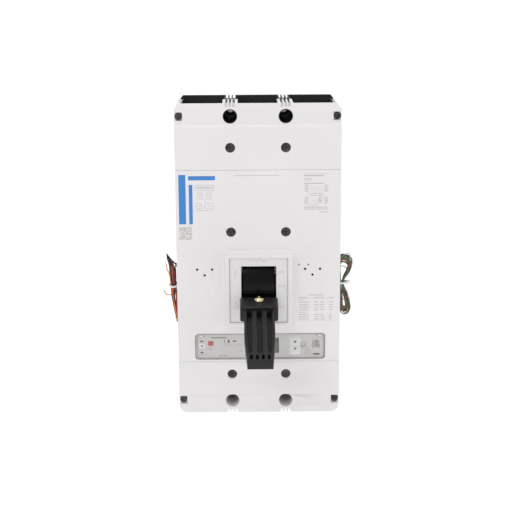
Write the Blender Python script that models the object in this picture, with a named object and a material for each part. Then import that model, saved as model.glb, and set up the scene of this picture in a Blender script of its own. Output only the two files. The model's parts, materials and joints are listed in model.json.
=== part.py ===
"""Molded case circuit breaker: three poles, handle extension, electronic trip unit, two lead harnesses.

Frame: the origin is the centre of the rear mounting face, +X to the right, +Y into the panel behind the
breaker, +Z up towards the line terminals. All lengths are in metres.
"""

import math

import bmesh
import bpy
from mathutils import Matrix, Vector

# ---- Driving dimensions ----
WIDTH = 0.2096
HEIGHT = 0.4064
POLE_PITCH = 0.06985
GAP = 0.0003

FACE_Y = -0.1277  # front of the covers
END_FACE_Y = -0.1235  # front of the stepped-back ends
COLLAR_Y = -0.1397  # front of the handle collar
PARTING_Y = -0.064  # where the covers meet the base
WALL = 0.004
REAR_WALL = 0.008

UPPER_JOINT_Z = 0.1200  # line terminal cover to main cover
LOWER_JOINT_Z = -0.1318  # main cover to load terminal cover
UPPER_STEP_Z = 0.1742
LOWER_STEP_Z = -0.1756
TOP_CHAMFER = (0.0055, 0.0070)
BOTTOM_RADIUS = 0.0105

BARRIER_X = POLE_PITCH / 2  # middle of the barriers between the poles
BARRIER_HALF = 0.0095
INNER_BARRIER_HALF = 0.0025
OUTER_POCKET_X = 0.0975
TERMINAL_CAVITY_REAR = -0.012

MOUNT_HOLE_Z = (0.1871, -0.1869)
MOUNT_BORE_R = 0.0079
MOUNT_SCREW_R = 0.00495
COVER_SCREW_Z = (0.1482, 0.0403, -0.1490)
COVER_SCREW_HEAD_R = 0.0059
CORNER_SCREW = (0.0998, 0.1870, -0.1857)
CORNER_HEAD_R = 0.0047

PANEL_X = 0.037  # half width of the escutcheon
PANEL_Z = (-0.0760, 0.0084)
WINDOW_X = 0.0223
WINDOW_Z = (-0.0640, -0.0020)
COLLAR_X = 0.0428
COLLAR_Z = (-0.0804, 0.0126)
COLLAR_FLARE = 0.0070

TRIP_PANEL_X = (-0.0825, 0.0858)
TRIP_PANEL_Z = (-0.1290, -0.0942)
TRIP_FACE_Y = -0.1247
# x and z ranges of what stands in the trip unit's face
TRIP_BUTTON = ((-0.0657, -0.0598), (-0.1106, -0.1054))
KEY_UP = ((0.0412, 0.0532), (-0.1108, -0.1006))
KEY_DOWN = ((0.0412, 0.0532), (-0.1222, -0.1120))
KEY_ENTER = ((0.0547, 0.0607), (-0.1140, -0.1080))
DISPLAY = ((-0.0050, 0.0258), (-0.1212, -0.1010))

HANDLE_AXIS = (-0.0687, -0.0330)  # y, z
HANDLE_OFF = math.radians(18)  # the handle points this far below level when it is off
SHIELD_R = (0.0615, 0.0645)
SHIELD_HALF_ANGLE = math.radians(46)
EXTENSION_SCREW_Y = -0.0852  # in the handle's own frame, with the lever along -Y

CROSSBAR_AXIS = (-0.040, -0.062)  # y, z
ARM_OPEN = math.radians(23.4)  # lean of an open contact arm, forward of vertical
CRADLE_AXIS = (-0.084, 0.010)  # y, z
TOGGLE_TOP = (-0.095, -0.010)  # y, z of the cradle's pin
TRIP_BAR_AXIS = (-0.084, -0.086)  # y, z
UPPER_LINK = 0.030
LOWER_LINK = 0.034
UPPER_LINK_ANGLE = math.radians(-74.5)
LOWER_LINK_ANGLE = math.radians(203.6)
ARM_PIN_R = 0.040

HARNESS_Y = -0.0674
HARNESS_EXIT_Z = (-0.020, 0.002)
HANK_HALF_Y = 0.0062
# x, z along each lead, from inside the casing through the slot in its side wall to the hank
RIGHT_LEAD = [(0.0960, -0.0094), (0.1010, -0.0092), (0.1066, -0.0090)]
LEFT_LEAD = [(-0.0960, -0.0166), (-0.1010, -0.0164), (-0.1060, -0.0156), (-0.1122, -0.0130)]
# x, z and half width down each hank of folded leads, from its top loop to its bottom loop
RIGHT_HANK = [(0.1185, -0.0130, 0.0118), (0.1135, -0.0382, 0.0052)]
RIGHT_HANK += [(0.1135, -0.0442, 0.0052), (0.1162, -0.0820, 0.0085)]
LEFT_HANK = [(-0.1205, -0.0065, 0.0048), (-0.1170, -0.0260, 0.0058)]
LEFT_HANK += [(-0.1148, -0.0403, 0.0052), (-0.1148, -0.0463, 0.0052), (-0.1106, -0.0890, 0.0050)]
TIE_THICK = 0.0014
TIE_HALF_HEIGHT = 0.0014


# ---- Helpers ----
def clear_scene():
    for old in list(bpy.data.objects):
        bpy.data.objects.remove(old, do_unlink=True)


def material(name, colour, roughness, metallic=0.0, alpha=1.0):
    made = bpy.data.materials.new(name)
    made.use_nodes = True
    shader = made.node_tree.nodes["Principled BSDF"]
    shader.inputs["Base Color"].default_value = (*colour, 1.0)
    shader.inputs["Roughness"].default_value = roughness
    shader.inputs["Metallic"].default_value = metallic
    shader.inputs["Alpha"].default_value = alpha
    made.diffuse_color = (*colour, alpha)
    return made


def add(name, bm, mat=None, smooth=False):
    """An object from a bmesh, or a hidden helper when it has no material."""
    bmesh.ops.recalc_face_normals(bm, faces=bm.faces)
    mesh = bpy.data.meshes.new(name)
    bm.to_mesh(mesh)
    bm.free()
    obj = bpy.data.objects.new(name, mesh)
    bpy.context.scene.collection.objects.link(obj)
    if mat is None:
        obj.hide_render = True
        obj.display_type = "WIRE"
    else:
        mesh.materials.append(mat)
    if smooth:
        mesh.shade_smooth()
        mesh.set_sharp_from_angle(angle=math.radians(35))
    return obj


def axis_point(axis, a, b, along):
    """The point at (a, b) across the axis: Y and Z across X, X and Z across Y, X and Y across Z."""
    if axis == "X":
        return Vector((along, a, b))
    if axis == "Y":
        return Vector((a, along, b))
    return Vector((a, b, along))


def prism_into(bm, outline, axis, low, high):
    ends = [[bm.verts.new(axis_point(axis, a, b, at)) for a, b in outline] for at in (low, high)]
    bm.faces.new(ends[0])
    bm.faces.new(ends[1])
    count = len(outline)
    for i in range(count):
        j = (i + 1) % count
        bm.faces.new((ends[0][i], ends[0][j], ends[1][j], ends[1][i]))


def prism(name, outline, axis, low, high, mat=None, smooth=False):
    bm = bmesh.new()
    prism_into(bm, outline, axis, low, high)
    return add(name, bm, mat, smooth)


def rectangle(a, b):
    return [(a[0], b[0]), (a[1], b[0]), (a[1], b[1]), (a[0], b[1])]


def circle(centre, radius, sides=24):
    turn = 2 * math.pi / sides
    return [
        (centre[0] + radius * math.cos(i * turn), centre[1] + radius * math.sin(i * turn))
        for i in range(sides)
    ]


def arc(centre, radius, start, end, steps):
    """Points from the angle start to the angle end, both included."""
    return [
        (
            centre[0] + radius * math.cos(start + (end - start) * i / steps),
            centre[1] + radius * math.sin(start + (end - start) * i / steps),
        )
        for i in range(steps + 1)
    ]


def sector(centre, radii, middle, half_angle, steps):
    """A ring sector, centred on the angle middle."""
    inner, outer = radii
    low, high = middle - half_angle, middle + half_angle
    return arc(centre, outer, low, high, steps) + arc(centre, inner, high, low, steps)


def rounded(a, b, radius, steps=4):
    """A rectangle with rounded corners."""
    points = []
    corners = ((a[1], b[1], 0), (a[0], b[1], 1), (a[0], b[0], 2), (a[1], b[0], 3))
    for x, z, quarter in corners:
        centre = (
            x - math.copysign(radius, x - sum(a) / 2),
            z - math.copysign(radius, z - sum(b) / 2),
        )
        points += arc(centre, radius, quarter * math.pi / 2, (quarter + 1) * math.pi / 2, steps)
    return points


def resize(span, by):
    """The same range, longer at both ends."""
    return (span[0] - by, span[1] + by)


def block(name, x, y, z, mat=None):
    return prism(name, rectangle(x, z), "Y", y[0], y[1], mat)


def blocks(name, ranges, mat=None):
    """Several blocks that don't touch, as one object."""
    bm = bmesh.new()
    for x, y, z in ranges:
        prism_into(bm, rectangle(x, z), "Y", y[0], y[1])
    return add(name, bm, mat)


def rods(name, centres, radius, axis, low, high, mat=None, sides=24):
    """Round bars along the axis, one at each centre."""
    bm = bmesh.new()
    for centre in centres:
        prism_into(bm, circle(centre, radius, sides), axis, low, high)
    return add(name, bm, mat, smooth=mat is not None)


def combine(target, operation, tools):
    for tool in tools:
        step = target.modifiers.new(tool.name, "BOOLEAN")
        step.operation = operation
        step.solver = "EXACT"
        step.object = tool
    return target


def cut(target, *tools):
    return combine(target, "DIFFERENCE", tools)


def join(target, *tools):
    return combine(target, "UNION", tools)


def soften(target, width, segments=1):
    bevel = target.modifiers.new("soft edges", "BEVEL")
    bevel.width = width
    bevel.segments = segments
    bevel.limit_method = "ANGLE"
    bevel.angle_limit = math.radians(40)
    return target


def set_origin(obj, point):
    """Moves the object's origin, and leaves its shape and its Boolean tools where they are."""
    obj.data.transform(Matrix.Translation(-Vector(point)))
    obj.location = point
    return obj


def around(yz, point, angle):
    """The point (y, z) turned about yz, positive from +Y towards +Z."""
    y, z = point[0] - yz[0], point[1] - yz[1]
    c, s = math.cos(angle), math.sin(angle)
    return (yz[0] + c * y - s * z, yz[1] + s * y + c * z)


def towards(yz, distance, angle):
    return (yz[0] + distance * math.cos(angle), yz[1] + distance * math.sin(angle))


def poles():
    return (("left", -POLE_PITCH), ("centre", 0.0), ("right", POLE_PITCH))


def sides():
    return (("left", -1), ("right", 1))


# ---- Shapes that the casing parts share ----
def body_outline():
    """The breaker seen from the front: chamfered corners at the top, round ones at the bottom."""
    x, z = WIDTH / 2, HEIGHT / 2
    across, down = TOP_CHAMFER
    top = [(x, z - down), (x - across, z), (-x + across, z), (-x, z - down)]
    r = BOTTOM_RADIUS
    left = arc((-x + r, -z + r), r, math.pi, 1.5 * math.pi, 5)
    right = arc((x - r, -z + r), r, 1.5 * math.pi, 2 * math.pi, 5)
    return top + left + right


def band(outline, low, high):
    """The part of the outline between two heights, where its sides are upright."""
    inside = [p for p in outline if low < p[1] < high]
    x = WIDTH / 2
    if high > HEIGHT / 2:
        return inside + [(-x, low), (x, low)]
    return [(x, high), (-x, high)] + inside


def pocket_ranges():
    """X ranges of the three terminal pockets."""
    inner, outer = BARRIER_X - BARRIER_HALF, BARRIER_X + BARRIER_HALF
    return ((-OUTER_POCKET_X, -outer), (-inner, inner), (outer, OUTER_POCKET_X))


def slot_cutter(name, z, width, pitch, depth):
    """Three narrow slots along Y in the end of each barrier."""
    ends = (z - depth, z + 0.002) if z > 0 else (z - 0.002, z + depth)
    ranges = []
    for _, side in sides():
        for step in (-1, 0, 1):
            x = side * BARRIER_X + step * pitch
            ranges.append(((x - width / 2, x + width / 2), (FACE_Y - 0.002, 0.002), ends))
    return blocks(name, ranges)


def hole_centres(z):
    return [(-BARRIER_X, z), (BARRIER_X, z)]


def corner_centres(z):
    return [(-CORNER_SCREW[0], z), (CORNER_SCREW[0], z)]


def both_sides(low, high):
    """An X range and its mirror image."""
    return ((-high, -low), (low, high))


def corner_blocks(name, z, y):
    return blocks(name, [(x, y, (z - 0.0068, z + 0.0068)) for x in both_sides(0.0920, 0.1040)])


# ---- Casing ----
def make_base(mat):
    outline = body_outline()
    base = prism("base", outline, "Y", PARTING_Y, 0.0, mat)
    front = PARTING_Y - 0.002
    end = HEIGHT / 2 + 0.002
    pockets = []
    for x in pocket_ranges():
        pockets.append((x, (front, TERMINAL_CAVITY_REAR), (UPPER_JOINT_Z + 0.004, end)))
        pockets.append((x, (front, TERMINAL_CAVITY_REAR), (-end, LOWER_JOINT_Z - 0.004)))
    rims = []
    for x in pocket_ranges():
        wide = (x[0] - 0.0022, x[1] + 0.0022)
        rims.append((wide, (front, TERMINAL_CAVITY_REAR + 0.005), (HEIGHT / 2 - 0.0040, end)))
    inner = BARRIER_X - INNER_BARRIER_HALF
    outer = BARRIER_X + INNER_BARRIER_HALF
    side_wall = WIDTH / 2 - WALL
    middles = []
    for x in ((-side_wall, -outer), (-inner, inner), (outer, side_wall)):
        middles.append((x, (front, -REAR_WALL), (LOWER_JOINT_Z + 0.008, UPPER_JOINT_Z - 0.004)))
    passages = []
    for _, x in poles():
        wide = (x - 0.0185, x + 0.0185)
        passages.append((wide, (-0.036, -0.014), (UPPER_JOINT_Z - 0.006, UPPER_JOINT_Z + 0.006)))
        passages.append((wide, (-0.036, -0.014), (LOWER_JOINT_Z - 0.006, LOWER_JOINT_Z + 0.010)))
    cut(
        base,
        blocks("base_pockets", pockets),
        blocks("base_rims", rims),
        blocks("base_middles", middles),
        blocks("base_passages", passages),
    )
    posts = rods("base_posts", hole_centres(COVER_SCREW_Z[1]), 0.0075, "Y", PARTING_Y, -0.004)
    top_boss = rods("base_top_boss", hole_centres(MOUNT_HOLE_Z[0]), 0.0113, "Y", PARTING_Y, -0.004)
    low_boss = rods("base_low_boss", hole_centres(MOUNT_HOLE_Z[1]), 0.0113, "Y", PARTING_Y, -0.004)
    liner = rods("base_liner", hole_centres(MOUNT_HOLE_Z[0]), 0.0088, "Y", END_FACE_Y + 0.0012, -0.010)
    top_corner = corner_blocks("base_top_corner", CORNER_SCREW[1], (PARTING_Y, -0.004))
    low_corner = corner_blocks("base_low_corner", CORNER_SCREW[2], (PARTING_Y, -0.004))
    join(base, posts, top_boss, low_boss, liner, top_corner, low_corner)
    for i, z in enumerate(MOUNT_HOLE_Z):
        bore = rods(f"base_bore_{i}", hole_centres(z), MOUNT_BORE_R, "Y", END_FACE_Y - 0.002, -0.030)
        through = rods(f"base_through_{i}", hole_centres(z), MOUNT_SCREW_R, "Y", -0.040, 0.002, sides=16)
        cut(base, bore, through)
    for i, z in enumerate(COVER_SCREW_Z):
        cut(base, rods(f"base_pilot_{i}", hole_centres(z), 0.0028, "Y", front, -0.030, sides=10))
    for i, z in enumerate(CORNER_SCREW[1:]):
        cut(base, rods(f"base_corner_pilot_{i}", corner_centres(z), 0.0023, "Y", front, -0.036, sides=8))
    bearing = rods("base_bearing", [CROSSBAR_AXIS], 0.0106, "X", -0.045, 0.045)
    way_in = prism(
        "base_bearing_way_in", rectangle((front, CROSSBAR_AXIS[0]), (-0.0725, -0.0515)), "X", -0.045, 0.045
    )
    cut(base, bearing, way_in)
    cut(base, slot_cutter("base_top_slots", HEIGHT / 2, 0.0029, 0.0047, 0.0045))
    cut(base, slot_cutter("base_low_slots", -HEIGHT / 2, 0.0034, 0.0049, 0.0045))
    return base


def end_profile(face_end, step, end):
    """The wedge in front of a terminal cover's stepped-back end, seen from the side."""
    slope = 0.0035 if end > step else -0.0035
    return [
        (face_end - 0.004, step),
        (face_end, step),
        (END_FACE_Y, step + slope),
        (END_FACE_Y, end),
        (face_end - 0.004, end),
    ]


def make_terminal_cover(name, upper, mat):
    joint = UPPER_JOINT_Z if upper else LOWER_JOINT_Z
    step = UPPER_STEP_Z if upper else LOWER_STEP_Z
    mount_z = MOUNT_HOLE_Z[0 if upper else 1]
    screw_z = COVER_SCREW_Z[0 if upper else 2]
    corner_z = CORNER_SCREW[1 if upper else 2]
    up = 1 if upper else -1
    rear = PARTING_Y - GAP
    limits = (joint + GAP / 2, 1.0) if upper else (-1.0, joint - GAP / 2)
    cover = prism(name, band(body_outline(), *limits), "Y", FACE_Y, rear, mat)
    end = up * (HEIGHT / 2 + 0.004)
    wedge = prism(f"{name}_wedge", end_profile(FACE_Y, step, end), "X", -0.12, 0.12)
    pockets = [
        (x, (END_FACE_Y + WALL, rear + 0.002), tuple(sorted((joint + up * 0.004, end))))
        for x in pocket_ranges()
    ]
    cut(cover, wedge, blocks(f"{name}_pockets", pockets))
    boss = rods(f"{name}_boss", hole_centres(mount_z), 0.0117, "Y", END_FACE_Y + 0.001, rear)
    corner = corner_blocks(f"{name}_corner", corner_z, (END_FACE_Y + 0.001, rear))
    join(cover, boss, corner)
    bore = 0.0091 if upper else 0.0089
    notches = [
        (x, (FACE_Y - 0.002, -0.1176), (corner_z - 0.0055, corner_z + 0.0055))
        for x in both_sides(0.0945, 0.1080)
    ]
    cut(
        cover,
        rods(f"{name}_mount", hole_centres(mount_z), bore, "Y", FACE_Y - 0.002, rear + 0.002),
        rods(f"{name}_head", hole_centres(screw_z), 0.0063, "Y", FACE_Y - 0.002, FACE_Y + 0.0065),
        rods(f"{name}_shank", hole_centres(screw_z), 0.0028, "Y", FACE_Y, rear + 0.002, sides=10),
        blocks(f"{name}_notches", notches),
        rods(f"{name}_corner_shank", corner_centres(corner_z), 0.0023, "Y", FACE_Y, rear + 0.002, sides=8),
    )
    width, pitch = (0.0029, 0.0047) if upper else (0.0034, 0.0049)
    cut(cover, slot_cutter(f"{name}_slots", up * HEIGHT / 2, width, pitch, 0.0045))
    return cover


def collar_frustum(name):
    """The raised collar round the handle: its walls flare out with a hollow curve towards the cover."""
    bm = bmesh.new()
    rings = []
    steps = 4
    for i in range(steps + 1):
        turn = math.pi / 2 * i / steps
        flare = COLLAR_FLARE * (1 - math.sin(turn))
        y = FACE_Y + 0.001 + (COLLAR_Y - FACE_Y - 0.001) * (1 - math.cos(turn))
        outline = rounded(
            (-COLLAR_X - flare, COLLAR_X + flare),
            (COLLAR_Z[0] - flare, COLLAR_Z[1] + flare),
            0.002 + flare,
            3,
        )
        rings.append([bm.verts.new((x, y, z)) for x, z in outline])
    bm.faces.new(rings[0])
    bm.faces.new(rings[-1])
    for low, high in zip(rings, rings[1:]):
        for i in range(len(low)):
            j = (i + 1) % len(low)
            bm.faces.new((low[i], low[j], high[j], high[i]))
    return add(name, bm)


def make_main_cover(mat):
    x = WIDTH / 2
    rear = PARTING_Y - GAP
    low, high = LOWER_JOINT_Z + GAP / 2, UPPER_JOINT_Z - GAP / 2
    cover = block("main_cover", (-x, x), (FACE_Y, rear), (low, high), mat)
    join(cover, collar_frustum("main_collar"))
    cut(
        cover,
        block(
            "main_hollow",
            (-x + WALL, x - WALL),
            (FACE_Y + WALL, rear + 0.002),
            (low + WALL, high - WALL),
        ),
    )
    posts = rods("main_posts", hole_centres(COVER_SCREW_Z[1]), 0.0085, "Y", FACE_Y + 0.001, rear)
    rib_x = both_sides(BARRIER_X - 0.0015, BARRIER_X + 0.0015)
    ribs = blocks("main_ribs", [(x, (FACE_Y + 0.002, rear), (0.046, high - 0.002)) for x in rib_x])
    join(cover, posts, ribs)
    panel_seat = block(
        "main_panel_seat",
        (-PANEL_X - GAP, PANEL_X + GAP),
        (COLLAR_Y - 0.002, -0.1335),
        (PANEL_Z[0] - GAP, PANEL_Z[1] + GAP),
    )
    handle_way = block("main_handle_way", (-0.033, 0.033), (COLLAR_Y, -0.120), (-0.072, 0.0045))
    trip_way = prism(
        "main_trip_way",
        rounded(resize(TRIP_PANEL_X, GAP), resize(TRIP_PANEL_Z, GAP), 0.004),
        "Y",
        FACE_Y - 0.002,
        -0.080,
    )
    cut(
        cover,
        panel_seat,
        handle_way,
        trip_way,
        rods("main_head", hole_centres(COVER_SCREW_Z[1]), 0.0063, "Y", FACE_Y - 0.002, FACE_Y + 0.0065),
        rods("main_shank", hole_centres(COVER_SCREW_Z[1]), 0.0028, "Y", FACE_Y, rear + 0.002, sides=10),
    )
    exit_x = both_sides(0.100, 0.106)
    exits = blocks("main_exits", [(x, (-0.0708, rear + 0.002), HARNESS_EXIT_Z) for x in exit_x])
    test_holes = [(-0.0788, -0.0083), (-0.0596, -0.0083), (-0.0692, -0.0159)]
    test_holes += [(-x, z) for x, z in test_holes]
    small_holes = [(0.0516, -0.0025), (0.0637, -0.0025)]
    cut(
        cover,
        exits,
        rods("main_test_holes", test_holes, 0.0017, "Y", FACE_Y - 0.001, -0.120, sides=8),
        rods("main_small_holes", small_holes, 0.0011, "Y", FACE_Y - 0.001, -0.120, sides=8),
    )
    return cover


def make_escutcheon(mat):
    panel = block("escutcheon", (-PANEL_X, PANEL_X), (-0.1380, -0.1338), PANEL_Z, mat)
    window = block("escutcheon_window", (-WINDOW_X, WINDOW_X), (-0.142, -0.130), WINDOW_Z)
    return cut(panel, window)


# ---- Fasteners ----
def make_screw(name, x, z, head, shank_r, length, mat):
    """A screw along Y with a crossed recess in its head, which is (front, radius, thickness)."""
    head_front, head_r, head_thick = head
    screw = rods(name, [(x, z)], head_r, "Y", head_front, head_front + head_thick, mat, sides=20)
    shank = rods(f"{name}_shank", [(x, z)], shank_r, "Y", head_front + 0.001, head_front + length, sides=10)
    deep = head_thick * 0.45
    arm, half = head_r * 0.62, head_r * 0.11
    y = (head_front - 0.001, head_front + deep)
    across = block(f"{name}_slot_a", (x - arm, x + arm), y, (z - half, z + half))
    upright = block(f"{name}_slot_b", (x - half, x + half), y, (z - arm, z + arm))
    return cut(join(screw, shank), across, upright)


def make_fasteners(mat):
    levels = ("line", "main", "load")
    for level, z in zip(levels, COVER_SCREW_Z):
        for side, s in sides():
            name = f"{level}_cover_screw_{side}"
            head = (FACE_Y + 0.0032, COVER_SCREW_HEAD_R, 0.0030)
            make_screw(name, s * BARRIER_X, z, head, 0.0025, 0.075, mat)
    for level, z in zip(("line", "load"), CORNER_SCREW[1:]):
        for side, s in sides():
            name = f"{level}_corner_screw_{side}"
            head = (-0.1205, CORNER_HEAD_R, 0.0026)
            make_screw(name, s * CORNER_SCREW[0], z, head, 0.0020, 0.070, mat)


# ---- Handle ----
def handle_frame():
    """An empty on the handle's axis. Its children point along -Y when the handle is level."""
    pivot = bpy.data.objects.new("handle_axis", None)
    bpy.context.scene.collection.objects.link(pivot)
    pivot.location = (0, *HANDLE_AXIS)
    pivot.rotation_euler = (HANDLE_OFF, 0, 0)
    return pivot


def hold(obj, parent):
    obj.parent = parent
    return obj


def make_toggle_handle(parent, mat):
    shield_shape = sector((0, 0), SHIELD_R, math.pi, SHIELD_HALF_ANGLE, 20)
    shield = prism("toggle_handle", shield_shape, "X", -0.0203, 0.0203, mat, smooth=True)
    raised_shape = sector((0, 0), (0.063, 0.0672), math.pi, math.radians(15.3), 6)
    raised = prism("handle_raised", raised_shape, "X", -0.0190, 0.0190)
    stub = block("handle_stub", (-0.0095, 0.0095), (-0.096, -0.063), (-0.0055, 0.0055))
    arms = []
    for side, s in sides():
        x = sorted((s * 0.0173, s * 0.0198))
        spoke = [(0.002, 0.0085), (-0.0625, 0.013), (-0.0625, -0.013), (0.002, -0.0085)]
        arms.append(prism(f"handle_arm_{side}", spoke, "X", *x))
        arms.append(rods(f"handle_hub_{side}", [(0, 0)], 0.0095, "X", x[0] + 0.0002, x[1] - 0.0002))
    yoke_pin = rods("handle_yoke_pin", [(-0.050, 0)], 0.0025, "X", -0.018, 0.018, sides=10)
    join(shield, raised, stub, *arms, yoke_pin)
    cut(shield, rods("handle_bearing", [(0, 0)], 0.0043, "X", -0.030, 0.030, sides=20))
    stub_thread = rods("handle_stub_thread", [(0, EXTENSION_SCREW_Y)], 0.0020, "Z", -0.001, 0.010, sides=10)
    cut(shield, stub_thread)
    for tool in [step.object for step in shield.modifiers]:
        hold(tool, parent)
    return hold(shield, parent)


def lever_outline():
    """The lever seen from above: full width, then a taper to the tip."""
    half = [(-0.1000, 0.0190), (-0.1500, 0.0190), (-0.1780, 0.0177), (-0.2080, 0.0154)]
    return [(x, y) for y, x in half] + [(-x, y) for y, x in reversed(half)]


def lever_grooves():
    """Three deep grooves along the lever; the outer two follow its taper."""
    inner = [(0.0092, -0.1015), (0.0092, -0.1917), (0.0100, -0.1925), (0.0129, -0.1925)]
    outer = [(0.0137, -0.1915), (0.0148, -0.1780), (0.0159, -0.1500), (0.0159, -0.1015)]
    middle = [(0.0034, -0.1015), (0.0034, -0.1917), (0.0026, -0.1925)]
    middle += [(-x, y) for x, y in reversed(middle)]
    shapes = [inner + outer, middle, [(-x, y) for x, y in reversed(inner + outer)]]
    return [prism(f"extension_groove_{i}", shape, "Z", 0.0050, 0.0145) for i, shape in enumerate(shapes)]


def lever_slots():
    """Four short slots across the lever's tip."""
    slots = []
    for i, x in enumerate((-0.0105, -0.0035, 0.0035, 0.0105)):
        shape = rounded((x - 0.0016, x + 0.0016), (-0.2060, -0.1966), 0.0012, 2)
        slots.append(prism(f"extension_slot_{i}", shape, "Z", 0.0030, 0.0145))
    return slots


def make_handle_extension(parent, mat):
    """A cap that fits over the handle's stub, and a ribbed lever in front of it."""
    profile = [(-0.0784, 0.0180), (-0.1003, 0.0180), (-0.1013, 0.0170), (-0.1013, -0.0030)]
    profile += [(-0.0752, -0.0030), (-0.0752, 0.0060)]
    cap = prism("handle_extension", profile, "X", -0.0240, 0.0240, mat, smooth=True)
    corners = rounded((-0.0240, 0.0240), (-0.0031, 0.0181), 0.0029)
    combine(cap, "INTERSECT", [prism("extension_corners", corners, "Y", -0.1100, -0.0700)])
    lever = prism("extension_lever", lever_outline(), "Z", 0.0007, 0.0140)
    join(cap, lever)
    seat = block("extension_seat", (-0.0099, 0.0099), (-0.0964, -0.070), (-0.0060, 0.0059))
    relief = block("extension_relief", (-0.0206, 0.0206), (-0.0985, -0.070), (-0.0070, 0.0145))
    core = block("extension_core", (-0.0125, 0.0125), (-0.0990, -0.0790), (-0.0025, 0.0155))
    cut(cap, relief)
    join(cap, core)
    centre = [(0, EXTENSION_SCREW_Y)]
    hole = rods("extension_screw_hole", centre, 0.0025, "Z", 0.004, 0.020, sides=10)
    cut(cap, seat, hole, *lever_grooves(), *lever_slots())
    for tool in [step.object for step in cap.modifiers]:
        hold(tool, parent)
    return hold(cap, parent)


def make_extension_screw(parent, mat):
    """A pan-head screw down through the cap into the stub."""
    bm = bmesh.new()
    profile = [(0.0017, 0.0010), (0.0017, 0.0184), (0.0060, 0.0184)]
    profile += [(0.0056, 0.0205), (0.0040, 0.0220), (0.0015, 0.0226)]
    count = 20
    y_middle = EXTENSION_SCREW_Y
    rings = []
    for radius, height in profile:
        rings.append([bm.verts.new((x, y, height)) for x, y in circle((0, y_middle), radius, count)])
    bm.faces.new(rings[0])
    bm.faces.new(rings[-1])
    for low, high in zip(rings, rings[1:]):
        for i in range(count):
            j = (i + 1) % count
            bm.faces.new((low[i], low[j], high[j], high[i]))
    screw = add("extension_screw", bm, mat, smooth=True)
    across = (y_middle - 0.0006, y_middle + 0.0006)
    along = (y_middle - 0.0034, y_middle + 0.0034)
    slot = block("extension_screw_slot", (-0.0034, 0.0034), across, (0.0212, 0.030))
    cross = block("extension_screw_cross", (-0.0006, 0.0006), along, (0.0212, 0.030))
    cut(screw, slot, cross)
    hold(slot, parent)
    hold(cross, parent)
    return hold(screw, parent)


def make_mechanism_frame(mat):
    """Two side plates joined by a web at the rear."""
    outline = [(-0.0095, -0.040), (-0.0095, 0.018), (-0.060, 0.018), (-0.104, 0.004)]
    outline += [(-0.104, -0.020), (-0.080, -0.047), (-0.040, -0.047)]
    frame = prism("mechanism_frame", outline, "X", -0.023, 0.023, mat)
    inside = block("frame_inside", (-0.021, 0.021), (-0.120, -0.0115), (-0.060, 0.030))
    window = block("frame_window", (-0.012, 0.012), (-0.020, -0.005), (-0.030, 0.008))
    cut(frame, inside, window)
    for side, s in sides():
        x = sorted((s * 0.0168, s * 0.0215))
        join(frame, rods(f"frame_stud_{side}", [HANDLE_AXIS], 0.0040, "X", *x, sides=16))
    return frame


def make_cradle(mat):
    """The latched lever that carries the upper end of the toggle."""
    outline = [(-0.079, 0.014), (-0.087, 0.015), (-0.101, -0.006), (-0.108, -0.024)]
    outline += [(-0.103, -0.027), (-0.094, -0.017), (-0.088, -0.006)]
    cradle = prism("cradle", outline, "X", 0.0083, 0.0102, mat)
    twin = prism("cradle_twin", outline, "X", -0.0102, -0.0083)
    bars = rods("cradle_bars", [TOGGLE_TOP, CRADLE_AXIS], 0.0024, "X", -0.0102, 0.0102, sides=12)
    return set_origin(join(cradle, twin, bars), (0, *CRADLE_AXIS))


def link_plates(name, start, end, radius, x, mat):
    """A pair of flat links with round ends."""
    angle = math.atan2(end[1] - start[1], end[0] - start[0])
    quarter = math.pi / 2
    outline = arc(start, radius, angle + quarter, angle + 3 * quarter, 6)
    outline += arc(end, radius, angle - quarter, angle + quarter, 6)
    first = prism(name, outline, "X", x[0], x[1], mat)
    twin = prism(f"{name}_twin", outline, "X", -x[1], -x[0])
    return first, twin


def make_upper_link(mat):
    knee = towards(TOGGLE_TOP, UPPER_LINK, UPPER_LINK_ANGLE)
    link, twin = link_plates("upper_toggle_link", TOGGLE_TOP, knee, 0.0045, (0.0059, 0.0079), mat)
    pin = rods("upper_link_pin", [knee], 0.0022, "X", -0.0165, 0.0165, sides=12)
    hole = rods("upper_link_hole", [TOGGLE_TOP], 0.0028, "X", -0.02, 0.02, sides=12)
    cut(join(link, twin, pin), hole)
    return set_origin(link, (0, *TOGGLE_TOP))


def arm_pin():
    """Where the lower link joins the centre contact arm, with the arm open."""
    upright = math.pi / 2 + ARM_OPEN
    return towards(CROSSBAR_AXIS, ARM_PIN_R, upright)


def make_lower_link(mat):
    """It stops short of the knee pin, because the toggle's loop is open there."""
    pin = arm_pin()
    end = towards(pin, LOWER_LINK - 0.0115, LOWER_LINK_ANGLE)
    link, twin = link_plates("lower_toggle_link", pin, end, 0.0045, (0.0039, 0.0055), mat)
    bridge = rods("lower_link_bridge", [end], 0.0020, "X", -0.0045, 0.0045, sides=10)
    hole = rods("lower_link_hole", [pin], 0.0026, "X", -0.02, 0.02, sides=12)
    cut(join(link, twin, bridge), hole)
    return set_origin(link, (0, *pin))


def make_springs(mat):
    """The two operating springs, from the knee pin to the handle's yoke pin."""
    knee = towards(TOGGLE_TOP, UPPER_LINK, UPPER_LINK_ANGLE)
    yoke = towards(HANDLE_AXIS, 0.050, math.pi + HANDLE_OFF)
    start, end = Vector((0, *knee)), Vector((0, *yoke))
    way = (end - start).normalized()
    start += way * 0.0034
    end -= way * 0.0040
    across = Vector((1, 0, 0))
    other = way.cross(across)
    turns, per_turn, coil_r = 6, 8, 0.0021
    for side, s in sides():
        points = []
        for i in range(turns * per_turn + 1):
            angle = 2 * math.pi * i / per_turn
            along = start.lerp(end, i / (turns * per_turn))
            centre = along + across * s * 0.0136
            points.append(centre + (across * math.cos(angle) + other * math.sin(angle)) * coil_r)
        tube(f"operating_spring_{side}", points, 0.0005, mat, resolution=1)


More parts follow.
